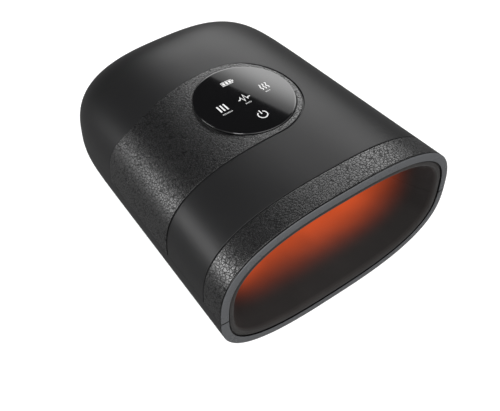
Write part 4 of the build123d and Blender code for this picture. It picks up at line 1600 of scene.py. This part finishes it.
@dataclass
class FrontTrim(CasingPart):
    """The mouth ring in two halves and the grained strip behind it, all swept round the casing's section."""

    ring_width: float = 4.9
    ring_depth: float = 1.25
    outer_roll: float = 0.45
    tilt: float = 0.3
    soft: float = 0.12
    lip: float = 0.3
    lip_slope: float = 0.08
    ring_seam: float = 0.14
    sleeve: Pair = (2.7, 4.2)
    sleeve_end: float = 9.0
    band_start: float = 1.7
    band_end: float = 18.3
    band_roll: float = 0.3
    band_inner: float = 0.8
    skin: float = 0.8
    steps: int = 180

    def ring_profile(self) -> list[Pair]:
        """Gives the ring's section as (inset, place along) pairs."""
        near, far = self.sleeve
        bend = 0.55 * self.outer_roll
        outer = [(0.0, self.tilt + self.outer_roll), (self.soft, self.tilt + bend),
                 (bend, self.tilt + self.soft), (self.outer_roll, self.tilt)]
        inner = [(self.ring_width - self.soft + out, drop) for out, drop in rounded(self.soft, 5)]
        back = [(self.ring_width, self.lip), (far, self.lip + self.lip_slope), (far, self.sleeve_end),
                (near, self.sleeve_end), (near, self.ring_depth), (0.0, self.ring_depth)]
        return [*outer, *inner, *back]

    def band_profile(self) -> list[Pair]:
        """Gives the strip's section as (inset, place along) pairs."""
        turned = rounded(self.band_roll)
        front = [(drop, self.band_start + self.band_roll - out) for out, drop in reversed(turned)]
        start, end = self.band_start + self.band_inner, self.band_end - self.band_inner
        rows = [(0.0, y) for y in np.linspace(start, end, 8)]
        rear = [(drop, self.band_end - self.band_roll + out) for out, drop in turned]
        return [*front, *rows, *rear, (self.skin, self.band_end), (self.skin, self.band_start)]

    def sweep(self, name: str, side: Side, profile: Pairs, ease: float = 0.0) -> Piece:
        """Sweeps a section round one half of the casing.

        Args:
            name: The piece's name.
            side: The half.
            profile: The section as (inset, place along) pairs, closed.
            ease: How far the ends stay back from the parting line.

        Returns:
            The linked object.
        """
        form = self.form
        inset, along = np.array(profile).T
        width = (form.half_width - inset) * (1 - form.width_taper * along / form.length)
        power = np.full_like(inset, form.corner_power)
        section = HalfSection(side, form.level(side) + side.value * ease, self.steps)
        angles, run = section.sampled((width, form.crown - inset, form.belly - inset, power))
        even = np.stack([np.interp(np.linspace(0, row[-1], self.steps), row, turn)
                         for row, turn in zip(run, angles)])
        grid = np.stack(np.broadcast_arrays(even, along[:, None], inset[:, None]), axis=-1)
        sheet = Sheet()
        sheet.patch(np.concatenate([grid, grid[:1]]))
        for end in ENDS:
            sheet.face(grid[:, end])
        values = {title: getattr(form, title.lower().replace(" ", "_")) for title in FORM_INPUTS}
        values["Origin"] = tuple(self.origin)
        return grow(name, sheet.seed(name + "_seed"), section_tree(), values, 50.0)

    def build(self) -> None:
        """Builds and dresses the ring's halves and the strip."""
        for side in Side:
            ring = self.sweep(f"{side.word}_mouth_ring", side, self.ring_profile(), self.ring_seam)
            dress(ring, RING_PAINT, "casing", "mouth_ring", f"{side.word}_bezel")
        strip = self.sweep("grained_strip", Side.UPPER, self.band_profile())
        dress(strip, GRAIN, "casing", "grained_leather", "front_band")


@dataclass
class Tongue(CasingPart):
    """The grained tongue that comes up the left side and rings the control disc."""

    groove: float = 1.0
    rear_gap: float = 0.08
    roll: float = 0.16
    rear_roll: float = 0.1
    lip: float = 0.2
    lip_slope: float = 0.06
    undercut: float = 0.7
    thickness: float = 0.8
    hole: float = 31.2
    hole_margin: float = 1.2
    edge_margin: float = 0.35

    def build(self) -> None:
        """Builds and dresses the tongue."""
        layout, sheet = self.layout, Sheet()
        edge = -layout.edge(self.groove, self.rear_gap)
        roll = layout.edge(self.roll, self.rear_roll)
        flat, foot = edge - roll, edge - self.undercut
        none = np.zeros_like(edge)
        turned = rounded(self.roll)
        lips = [layout.chain(flat + roll * out / self.roll, roll * drop / self.roll)
                for out, drop in turned]
        for margin, depth in ((edge, self.lip), (foot, self.lip + self.lip_slope), (foot, self.thickness)):
            lips.append(layout.chain(margin, none + depth))
        ring = [layout.loop(flat, none), layout.loop(flat - self.edge_margin, none),
                layout.bore(self.hole + self.hole_margin, 0.0)]
        ring += [layout.bore(self.hole + self.roll - out, drop) for out, drop in turned]
        ring += [layout.bore(self.hole, self.thickness), layout.loop(foot, none + self.thickness)]
        top, under = layout.strip(flat, none), layout.strip(foot, none + self.thickness)
        rows = np.stack(lips)
        sheet.patch(top, rows, under)
        sheet.patch(np.stack(ring), closed=True)
        sheet.rim(np.concatenate([rows[::-1][:, 0], top[1:, 0], rows[1:, -1]]), under[:, 0])
        dress(sheet.build("grained_tongue"), GRAIN, "casing", "grained_leather", "leather_inlay")


@dataclass
class ControlDisc(CasingPart):
    """The round touch glass with its printed marks."""

    radius: float = 30.7
    under_z: float = 47.4
    top_z: float = 49.2
    edge: float = 0.45
    under_edge: float = 0.1
    ink: float = 0.05
    sunk: float = 0.01

    def glass(self) -> Piece:
        """Builds the glass, with a rolled edge."""
        rim = [(self.radius - self.edge + out, self.top_z - drop) for out, drop in rounded(self.edge, 6)]
        face = [(share, self.top_z) for share in (0, self.radius * 0.5, self.radius - 1.2)]
        foot = [(self.radius, self.under_z + self.under_edge), (self.radius - self.under_edge, self.under_z),
                (0, self.under_z)]
        return lathe("touch_glass", [*face, *rim, *foot], self.at(0, self.layout.disc_y), steps=160)

    def line(self, name: str, points: Pairs, width: float, closed: bool = False) -> Piece:
        """Prints one line of ink through points on the glass.

        Args:
            name: The mark's name.
            points: Places on the glass in millimetres.
            width: The line's width in millimetres.
            closed: Whether the line comes back to its start.

        Returns:
            The linked object.
        """
        middle = np.array(points, float)
        ahead = np.roll(middle, -1, axis=0) - middle
        behind = middle - np.roll(middle, 1, axis=0)
        if not closed:
            ahead[-1], behind[0] = behind[-1], ahead[0]
        ahead, behind = (run / np.linalg.norm(run, axis=1, keepdims=True) for run in (ahead, behind))
        run = ahead + behind
        run /= np.linalg.norm(run, axis=1, keepdims=True)
        across = np.stack([-run[:, 1], run[:, 0]], axis=1)
        reach = across * width / 2 / np.maximum((run * ahead).sum(axis=1, keepdims=True), 0.5)
        low, high = self.top_z - self.sunk, self.top_z + self.ink
        corners = ((reach, low), (reach, high), (-reach, high), (-reach, low))
        rows = [np.column_stack([middle + out, np.full(len(middle), z)]) for out, z in corners]
        rows = self.to_frame(np.stack(rows, axis=1))
        sheet = Sheet()
        sheet.patch(np.concatenate([rows, rows[:1]]) if closed else rows, closed=True)
        if not closed:
            for end in ENDS:
                sheet.face(rows[end])
        return sheet.build(name)

    def row(self, name: str, x: float, y: float, **sizes: float) -> Piece:
        """Prints a row of strokes whose first one is at a place on the glass.

        Args:
            name: The mark's name.
            x: The place across, in millimetres.
            y: The place along, in millimetres.
            sizes: The number of strokes, and their sizes in metres.

        Returns:
            The linked object.
        """
        seed = seed_points(name, [self.at(x, y, self.top_z)])
        values = {title.capitalize(): size for title, size in sizes.items()}
        return grow(name, seed, stroke_tree(), {"Thickness": 2 * self.ink * MM, **values})

    @staticmethod
    def arc_points(x: float, y: float, radius: float, start: float, end: float) -> list[Pair]:
        """Gives places round part of a circle; angles are in degrees."""
        turns = np.radians(np.linspace(start, end, 28))
        return [(x + radius * math.cos(turn), y + radius * math.sin(turn)) for turn in turns]

    def marks(self) -> Piece:
        """Prints the signs for power, pressing strength, warmth, rhythm and charge, with ticks for words."""
        rhythm = [(-4.2, 93.3), (-2.8, 93.3), (-1.9, 95.2), (-0.7, 91.0), (0.8, 96.4), (1.9, 92.0),
                  (2.6, 93.3), (4.2, 93.3)]
        drawn = [
            self.line("power_arc", self.arc_points(0, 75.4, 2.9, 122, 418), 0.7),
            self.line("power_bar", [(0, 76.0), (0, 79.4)], 0.7),
            self.line("rhythm_line", rhythm, 0.65),
            self.line("charge_case", [(-3.6, 109.2), (3.6, 109.2), (3.6, 112.4), (-3.6, 112.4)], 0.4, True),
            self.line("charge_tip", [(4.3, 110.2), (4.3, 111.4)], 0.7),
            self.row("charge_cells", -2.2, 110.8, count=3, pitch=0.0022, width=0.0015, length=0.0021),
            self.row("warmth_waves", 14.0, 95.2, count=3, pitch=0.0021, width=0.0007, length=0.0054,
                     wave=0.0004),
            self.row("strength_bars", -17.9, 93.6, count=3, pitch=0.0023, width=0.001, length=0.0056),
        ]
        tick = {"pitch": 0.0009, "width": 0.00035, "length": 0.0009}
        for x, y, count in ((-18.6, 88.4, 8), (-2.0, 88.6, 5), (14.2, 90.4, 4)):
            drawn.append(self.row("word_ticks", x, y, count=count, **tick))
        return join("glass_marks", drawn)

    def build(self) -> None:
        """Builds and dresses the glass and its marks."""
        dress(self.glass(), GLASS, "casing", "touch_glass", "control_glass")
        dress(self.marks(), PRINT, "casing", "white_plastic")


@dataclass
class Lining(CasingPart):
    """The two fabric panels of the hand chamber, from the rolled hem at the mouth to the closed rear."""

    hem_front: float = 0.6
    hem_inset: float = 6.4
    throat: float = 50.0
    funnel: float = 1.6
    half_width: float = 62.5
    top: float = 24.65
    bottom: float = 21.55
    power: float = 4.0
    taper: float = 0.03
    end: float = 157.6
    cloth: float = 1.5
    hem_lip: float = 1.0
    hem_bulge: float = 0.7
    tuck: float = 2.0
    tuck_depth: float = 0.45
    hem_depth: float = 1.4
    rear_round: tuple[float, float, float] = (9.0, 7.5, 1.6)
    flat_width: float = 0.2
    flatness: float = 2.4
    girth_radius: float = 0.075
    give_shares: Pair = (0.3, 0.85)
    give_front: Pair = (0.016, 0.014)
    give_rear: Pair = (0.012, 0.01)
    rows: int = 66
    row_spread: float = 1.35
    across: int = 96
    samples: int = 320

    def sizes(self, y: Array, inset: Array) -> Sizes:
        """Gives the sizes of the cloth's sections.

        Args:
            y: Places along the chamber.
            inset: How far the sizes are drawn in.

        Returns:
            The half widths, heights, depths and corner powers.
        """
        mouth = self.form.sizes(np.array([self.hem_front]), self.hem_inset)
        chamber = (self.half_width, self.top, self.bottom, self.power)
        left = (1 - np.clip((y - self.hem_front) / (self.throat - self.hem_front), 0, 1)) ** self.funnel
        width, top, bottom, power = (inside + (at_mouth[0] - inside) * left
                                     for inside, at_mouth in zip(chamber, mouth))
        narrow = 1 - self.taper * np.maximum(0, y - self.throat) / (self.form.length - self.throat)
        return width * narrow - inset, top - inset, bottom - inset, power

    def face(self, side: Side, inset: float, y: Array, extra: Array) -> Array:
        """Gives rows of points on one face of the cloth.

        Args:
            side: The panel.
            inset: How far the face lies inside the cloth's outer face.
            y: The rows' places along the chamber.
            extra: Each row's further inset, where the hem rolls or the rear closes.

        Returns:
            The points, in metres in the frame.
        """
        section = HalfSection(side, self.form.level(side), self.samples)
        shares = np.tile(np.linspace(0, 1, self.across), len(y))
        flat_y, insets = (np.repeat(values, self.across) for values in (y, inset + extra))
        x, z = section.at_shares(shares, self.sizes(flat_y, insets))
        return self.to_frame(np.stack([x, flat_y, z], axis=-1)).reshape(len(y), self.across, 3)

    def closed(self, face: Array, side: Side, end: float, steps: int = 9) -> Array:
        """Adds the rows that close a face's rear towards the chamber's middle line.

        Args:
            face: The face's rows.
            side: The panel.
            end: The closed rear's place along the chamber.
            steps: Rows in the rear, with the face's own last one.

        Returns:
            All the rows.
        """
        row = face[-1]
        goal = row.copy()
        goal[:, 2] = self.at(0, 0, self.form.level(side)).z
        mixes = np.linspace(0, 1, steps)[1:, None, None]
        rows = row * (1 - mixes) + goal * mixes
        rows[..., 1] = row[0, 1] + (self.at(0, end).y - row[0, 1]) * np.sin(mixes[..., 0] * math.pi / 2)
        return np.concatenate([face, rows])

    def hem(self, side: Side, start: float) -> Array:
        """Gives the rolled hem's rows, which tuck behind the mouth ring.

        Args:
            side: The panel.
            start: Where the flat cloth begins.

        Returns:
            The rows of points, closed.
        """
        bend = np.linspace(0, math.pi, 15)
        thick = self.cloth + self.hem_lip + self.hem_bulge
        front = start - self.tuck_depth
        bead = thick * (1 - np.cos(bend)) / 2 - self.hem_lip
        bead_y = front - (self.hem_depth - self.tuck_depth) * np.sin(bend) ** 0.7
        insets = np.concatenate([[0.0, -self.tuck, -self.tuck], bead, [thick - self.hem_lip, self.cloth]])
        return self.face(side, 0.0, np.concatenate([[start, start, front], bead_y, [start, start]]), insets)

    def panel(self, name: str, side: Side) -> Piece:
        """Builds one panel as a closed sheet with a rolled hem.

        Args:
            name: The panel's name.
            side: Its half.

        Returns:
            The linked object.
        """
        start = self.hem_front + self.hem_depth
        y = start + (self.end - self.cloth - start) * np.linspace(0, 1, self.rows) ** self.row_spread
        before, reach, inset = self.rear_round
        round_off = inset * np.clip((y - (self.end - before)) / reach, 0, 1) ** 2
        outer, inner = (self.closed(self.face(side, depth, y, round_off), side, self.end - depth)
                        for depth in (0.0, self.cloth))
        hem = self.hem(side, start)
        sheet = Sheet()
        sheet.patch(outer, inner, hem, np.stack([outer[-1], inner[-1]]))
        for end in ENDS:
            sheet.patch(np.stack([outer[:, end], inner[:, end]]))
            sheet.face(hem[:, end])
        return sheet.build(name, 60.0)

    def lay_pattern(self, piece: Piece) -> None:
        """Gives the cloth its own coordinates: across the panel, along the chamber and height."""
        points = np.array([vertex.co for vertex in piece.data.vertices]) - np.array(self.origin)
        turn = np.arctan2(points[:, 2] * self.flatness, points[:, 0])
        cloth = np.stack([turn * self.girth_radius, points[:, 1], points[:, 2]], axis=-1)
        stored = piece.data.attributes.new("cloth", "FLOAT_VECTOR", "POINT")
        stored.data.foreach_set("vector", cloth.ravel().astype(np.float32))

    def give(self, piece: Piece, side: Side) -> None:
        """Bakes the panel's place into its points and weighs each point by how far it lies over its press
        plate; the weights are not used.

        Args:
            piece: The panel.
            side: The panel's half.
        """
        reach = side.value * (self.top if side is Side.UPPER else self.bottom)
        start, end = (self.at(0, 0, reach * share) for share in self.give_shares)
        f"{side.word}_plate"
        tuple(start)
        tuple(end)
        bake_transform(piece)
        low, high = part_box(f"{side.word}_press_plate")
        points = np.array([vertex.co for vertex in piece.data.vertices])
        weight = np.ones(len(points))
        before, front_ease = self.give_front
        after, rear_ease = self.give_rear
        for share in ((points[:, 2] - start.z) / (end.z - start.z),
                      (points[:, 1] - low.y + before) / front_ease,
                      (high.y + after - points[:, 1]) / rear_ease):
            weight *= eased(share)

    def build(self) -> None:
        """Builds and dresses both panels."""
        for side in Side:
            piece = self.panel(f"{side.word}_lining", side)
            self.lay_pattern(piece)
            self.give(piece, side)
            dress(piece, KNIT, "", "lining_fabric", f"{side.word}_liner")
            f"{side.word}_frame"


@dataclass
class AirBags:
    """The two flat air bags between the frames and the plates, each with a welded rim and a port. Metres."""

    rim: float = 0.0026
    weld: float = 0.0005
    power: float = 6.0
    pucker: float = 0.05
    puckers: int = 6
    face_rows: int = 14
    rim_rows: int = 6
    port_x: float = 0.0116
    port_length: float = 9.0
    port_radius: float = 1.5

    def outline(self, turns: Array) -> Array:
        """Gives a rounded square's x and y, and no height, at angles round it."""
        round_parts = np.stack([np.cos(turns), np.sin(turns), np.zeros_like(turns)], axis=-1)
        return np.sign(round_parts) * np.abs(round_parts) ** (2 / self.power)

    def bag(self, name: str, low: Vector, high: Vector) -> Piece:
        """Builds one bag without its port.

        Args:
            name: The bag's name.
            low: The lowest corner of its room.
            high: The highest corner of its room.

        Returns:
            The linked object.
        """
        middle, half = middle_of(low, high), (high - low) / 2
        turns = np.linspace(0, 2 * math.pi, 120, endpoint=False)
        shares = np.concatenate([np.linspace(0, 0.9, self.face_rows), np.linspace(0.92, 1, self.rim_rows)])
        edge = 1 - self.rim / half.x
        plan = self.outline(turns) * np.array(half)
        rows = []
        for face, order in ((1.0, shares), (-1.0, shares[::-1])):
            for share in order:
                swell = math.sqrt(1 - (share / edge) ** 6) if share < edge else 0.0
                quilt = 1 - self.pucker * np.cos(self.puckers * turns) * share**2 * (share < edge)
                row = plan * share
                row[:, 2] = face * (self.weld / 2 + (half.z - self.weld / 2) * swell) * quilt
                rows.append(row)
        sheet = Sheet()
        sheet.patch(np.stack(rows) + np.array(middle), closed=True)
        return sheet.build(name)

    def build(self) -> None:
        """Builds and dresses both bags, each joined to its port."""
        for side in Side:
            node = f"{side.word}_airbag"
            low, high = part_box(node)
            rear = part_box(f"{side.word}_press_plate")[1].y
            name = f"{side.word}_air_bag"
            bag = self.bag(name, low, Vector((high.x, rear, high.z)))
            tall = (high.y - rear) / MM + self.port_length
            port = self.port_radius
            profile = [(0, 0), (port, 0), (port, tall), (0.8 * port, tall), (0, tall)]
            foot = Vector((self.port_x, rear - self.port_length * MM, middle_of(low, high).z))
            piece = join(name, [bag, lathe("port", profile, foot, Axis.Y, 24)])
            f"{side.word}_plate"
            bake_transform(piece)
            dress(piece, BAG, "", "bag_film", node)


@dataclass
class Underside:
    """The rubber feet."""

    FEET: ClassVar[Sequence[str]] = (
        "foot_front_left", "foot_front_right", "foot_rear_left", "foot_rear_right")

    edge: float = 0.9
    top_edge: float = 0.3
    dish: float = 0.35

    def build(self) -> None:
        """Builds and dresses each foot, with a rolled edge and a shallow ring in its sole."""
        for node in self.FEET:
            low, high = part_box(node)
            middle = middle_of(low, high)
            radius = (high.x - low.x) / 2 / MM
            tall = (high.z - low.z) / MM
            sole = [(radius - self.edge + out, drop) for out, drop in rounded(self.edge, 5)]
            ring = [(0, self.dish), (radius * 0.45, self.dish), (radius * 0.52, 0.05), (radius * 0.56, 0)]
            top = [(radius, tall - self.top_edge), (radius - self.top_edge, tall), (0, tall)]
            piece = lathe(node + "_pad", [*ring, *sole, *top], Vector((middle.x, middle.y, low.z)), steps=72)
            dress(piece, FOOT, "casing", "soft_rubber", node)


@dataclass
class Fasteners:
    """The screws of the frames and of the casing. Metres."""

    head_height: float = 0.0015
    head_radius: float = 0.0024
    shank_radius: float = 0.00125

    def build(self) -> None:
        """Puts a screw where each of the frame's screws is, head where its head is."""
        for node in ("upper_frame_screws", "lower_frame_screws", "case_screws"):
            over = node == "lower_frame_screws"
            solids = islands(node)
            places = []
            for low, high in solids:
                middle = middle_of(low, high)
                seat = high.z - self.head_height if over else low.z + self.head_height
                places.append((middle.x, middle.y, seat))
            low, high = solids[0]
            values = {"Head radius": self.head_radius, "Head height": self.head_height, "Turned over": over,
                      "Shank radius": self.shank_radius, "Shank length": high.z - low.z - self.head_height}
            piece = grow(node + "_turned", seed_points(node, places), screw_tree(), values, 30.0)
            dress(piece, STEEL, "casing", "screw_steel", node)


@dataclass
class ReleaseValve:
    """The release valve's return spring. Metres."""

    wire: float = 0.00024
    turns: float = 6.0
    lift: float = 0.0008

    def build(self) -> None:
        """Winds the spring in its node's space."""
        low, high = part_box("valve_spring")
        middle = middle_of(low, high)
        height = high.z - low.z
        values = {"Radius": (high.x - low.x) / 2 - self.wire, "Height": height - 2 * self.wire,
                  "Turns": self.turns, "Wire radius": self.wire}
        seed = seed_points("valve_spring", [(middle.x, middle.y, low.z + self.wire)])
        piece = grow("wound_valve_spring", seed, coil_tree(), values)
        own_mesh(piece)
        dress(piece, SPRING_WIRE, "casing", "screw_steel", "valve_spring")


def dress_inner_parts(nodes: dict[str, Piece]) -> None:
    """Gives every part that is still shown from the frame its own finish, by its slot."""
    for name, node in sorted(nodes.items()):
        if node.hide_render:
            continue
        for place in node.material_slots:
            slot = place.material.name.split(".")[0]
            if slot in INNER_FINISHES:
                place.material = INNER_FINISHES[slot].material()
            else:
                log.warning("%s: no finish for %s", name, slot)
        log.info("%s: dressed", name)


# Studio


@dataclass
class Studio:
    """The camera, the white backdrop and the soft lights. Metres and degrees."""

    camera_azimuth: float = -37.9587
    camera_elevation: float = 47.3375
    camera_roll: float = 0.9034
    camera_distance: float = 0.5515885
    target: tuple[float, float, float] = (0.0, -0.011476, 0.009160)
    lens: float = 59.973
    front_sky: float = 0.75
    rear_sky: float = 0.035
    horizon: float = 0.24
    shine_edge: tuple[Pair, ...] = ((-0.00414, 0.02466), (0.01272, -0.03236))
    glass_z: float = 0.0963
    fade_share: float = 0.09
    full_share: float = 0.4
    dim: Pair = (0.2, 0.25)
    floor_reach: float = 6.0

    def view(self) -> Matrix:
        """Gives the camera's place and turn: it faces the target from its azimuth and elevation."""
        turns = ((self.camera_azimuth, "Z"), (90 - self.camera_elevation, "X"), (self.camera_roll, "Z"))
        around, lean, roll = (Matrix.Rotation(math.radians(angle), 4, axis) for angle, axis in turns)
        back = Matrix.Translation((0, 0, self.camera_distance))
        return Matrix.Translation(self.target) @ around @ lean @ roll @ back

    def camera(self) -> None:
        """Places the camera where the photograph was taken from."""
        data = bpy.data.cameras.new("camera")
        data.lens = self.lens
        data.sensor_width = 36
        data.clip_start = 0.01
        made = show("camera", data)
        made.matrix_world = self.view()
        bpy.context.scene.camera = made

    def light(self, name: str, size: Pair, power: float, place: Matrix) -> bpy.types.AreaLight:
        """Adds a rectangular light.

        Args:
            name: Its name.
            size: Its width and height.
            power: Its power in watts.
            place: Its place and turn.

        Returns:
            The light's data.
        """
        data = bpy.data.lights.new(name, "AREA")
        data.shape = "RECTANGLE"
        data.size, data.size_y = size
        data.energy = power
        show(name, data).matrix_world = place
        return data

    def mirrored_panel(self, name: str, distance: float, size: Pair, power: float) -> None:
        """Adds a panel whose upper edge shows in the glass as one straight line, bright beyond it.

        Args:
            name: The light's name.
            distance: How far it stands from the glass.
            size: Its width along the edge and its height under it.
            power: Its power in watts.
        """
        camera = self.view().translation
        mirrored = Vector((camera.x, camera.y, 2 * self.glass_z - camera.z))
        first, second = (Vector((*place, self.glass_z)) for place in self.shine_edge)
        outward = (middle_of(first, second) - mirrored).normalized()
        edge = (second - mirrored).normalized() - (first - mirrored).normalized()
        edge = (edge - outward * edge.dot(outward)).normalized()
        up = outward.cross(edge)
        down = up if up.z < 0 else -up
        start = middle_of(first, second) + outward * distance
        turn = Matrix((edge, up, outward)).transposed().to_4x4()
        data = self.light(name, size, power, Matrix.Translation(start + down * size[1] / 2) @ turn)
        self.fade(data, start, down, size[1])

    def fade(self, data: bpy.types.AreaLight, start: Vector, direction: Vector, height: float) -> None:
        """Makes a panel dim at its edge, full further in and dim again towards the far side.

        Args:
            data: The panel's light.
            start: A point on the edge.
            direction: The direction away from the edge.
            height: How far the panel reaches in that direction.
        """
        data.use_nodes = True
        wiring = Wiring(data.node_tree)
        place = wiring.add("ShaderNodeNewGeometry", output="Position")
        along = wiring.add("ShaderNodeVectorMath", {0: place, 1: direction}, "Value", operation="DOT_PRODUCT")
        edge = start.dot(direction)
        near = wiring.within(along, edge, edge + height * self.fade_share, self.dim[0], 1.0)
        far = wiring.within(along, edge + height * self.full_share, edge + height, 1.0, self.dim[1])
        wiring.feed(data.node_tree.nodes["Emission"].inputs["Strength"], wiring.times(near, far))

    def lamp(self, name: str, place: Vector, aim: Vector, size: Pair, power: float) -> None:
        """Adds a soft panel light that faces a point."""
        turn = (aim - place).to_track_quat("-Z", "Y").to_matrix().to_4x4()
        self.light(name, size, power, Matrix.Translation(place) @ turn)

    def world(self) -> None:
        """Shows the camera white all round, and lights the object by a room that is dark behind."""
        made = bpy.data.worlds.new("studio")
        bpy.context.scene.world = made
        made.use_nodes = True
        wiring = Wiring(made.node_tree)
        _, along, height = wiring.parts(wiring.add("ShaderNodeTexCoord", output="Generated"))
        room = wiring.within(along, -0.3, 0.25, self.front_sky, self.rear_sky)
        horizon = wiring.within(height, 0.0, 0.14, self.horizon, 0.0)
        seen = wiring.add("ShaderNodeLightPath", output="Is Camera Ray")
        level = wiring.add("ShaderNodeMix", {"Factor": seen, 2: wiring.plus(room, horizon), 3: 1.0})
        backing = made.node_tree.nodes["Background"].inputs
        wiring.feed(backing["Strength"], level)
        backing["Color"].default_value = (1, 1, 1, 1)

    def floor(self) -> None:
        """Lays a wide white floor that keeps a faint shadow."""
        reach = self.floor_reach
        mesh = bpy.data.meshes.new("floor")
        mesh.from_pydata([(-reach, -reach, 0), (reach, -reach, 0), (reach, reach, 0), (-reach, reach, 0)], [],
                         [(0, 1, 2, 3)])
        finish, pattern = start_pattern("floor_finish", {
            "Roughness": 0.9, "Specular IOR Level": 0.1, "Emission Color": (1, 1, 1, 1)})
        path = pattern.add("ShaderNodeLightPath").node.outputs
        mirrored = pattern.math("MAXIMUM", path["Is Glossy Ray"], path["Is Transmission Ray"])
        pattern.paint(mirrored, (0.5, 0.5, 0.5), (0.13, 0.13, 0.13))
        seen = pattern.times(path["Is Camera Ray"], 0.76)
        pattern.set("Emission Strength", pattern.plus(seen, pattern.times(mirrored, 0.07)))
        mesh.materials.append(finish)
        show("floor", mesh)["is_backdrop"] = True

    def build(self) -> None:
        """Sets the whole studio up."""
        self.camera()
        self.world()
        self.floor()
        self.mirrored_panel("rear_panel", 1.0, (0.84, 0.56), 5.3)
        aim = Vector((0.0, 0.0, 0.05))
        self.lamp("left_panel", Vector((-0.95, 0.43, 0.36)), Vector((0.0, 0.0, 0.06)), (0.56, 0.46), 4.4)
        self.lamp("top_key", Vector((0.25, -0.75, 1.05)), aim, (1.0, 1.0), 6.0)
        self.lamp("edge_light", Vector((-0.6, -0.5, 0.75)), aim, (0.3, 0.6), 5.5)
        bpy.context.scene.view_settings.view_transform = "Standard"


def corners(box: Sequence[Vector]) -> list[list[float]]:
    """Gives a box's corners as plain numbers."""
    return [[float(value) for value in corner] for corner in box]


def main() -> None:
    """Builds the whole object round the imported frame."""
    logging.basicConfig(level=logging.INFO, format="%(name)s: %(message)s")
    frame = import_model()
    packed = corners(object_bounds())
    ring_low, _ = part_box("upper_bezel")
    origin = Vector((0.0, ring_low.y, ring_low.z - CasingForm().upper_seam * MM))
    Studio().build()
    for kind in (Casing, FrontTrim, Tongue, ControlDisc, Lining):
        kind(origin).build()
    for kind in (AirBags, Underside, Fasteners, ReleaseValve):
        kind().build()
    dress_inner_parts(frame["nodes"])
    {"packed": packed, "dressed": corners(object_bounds())}


if __name__ == "__main__":
    main()
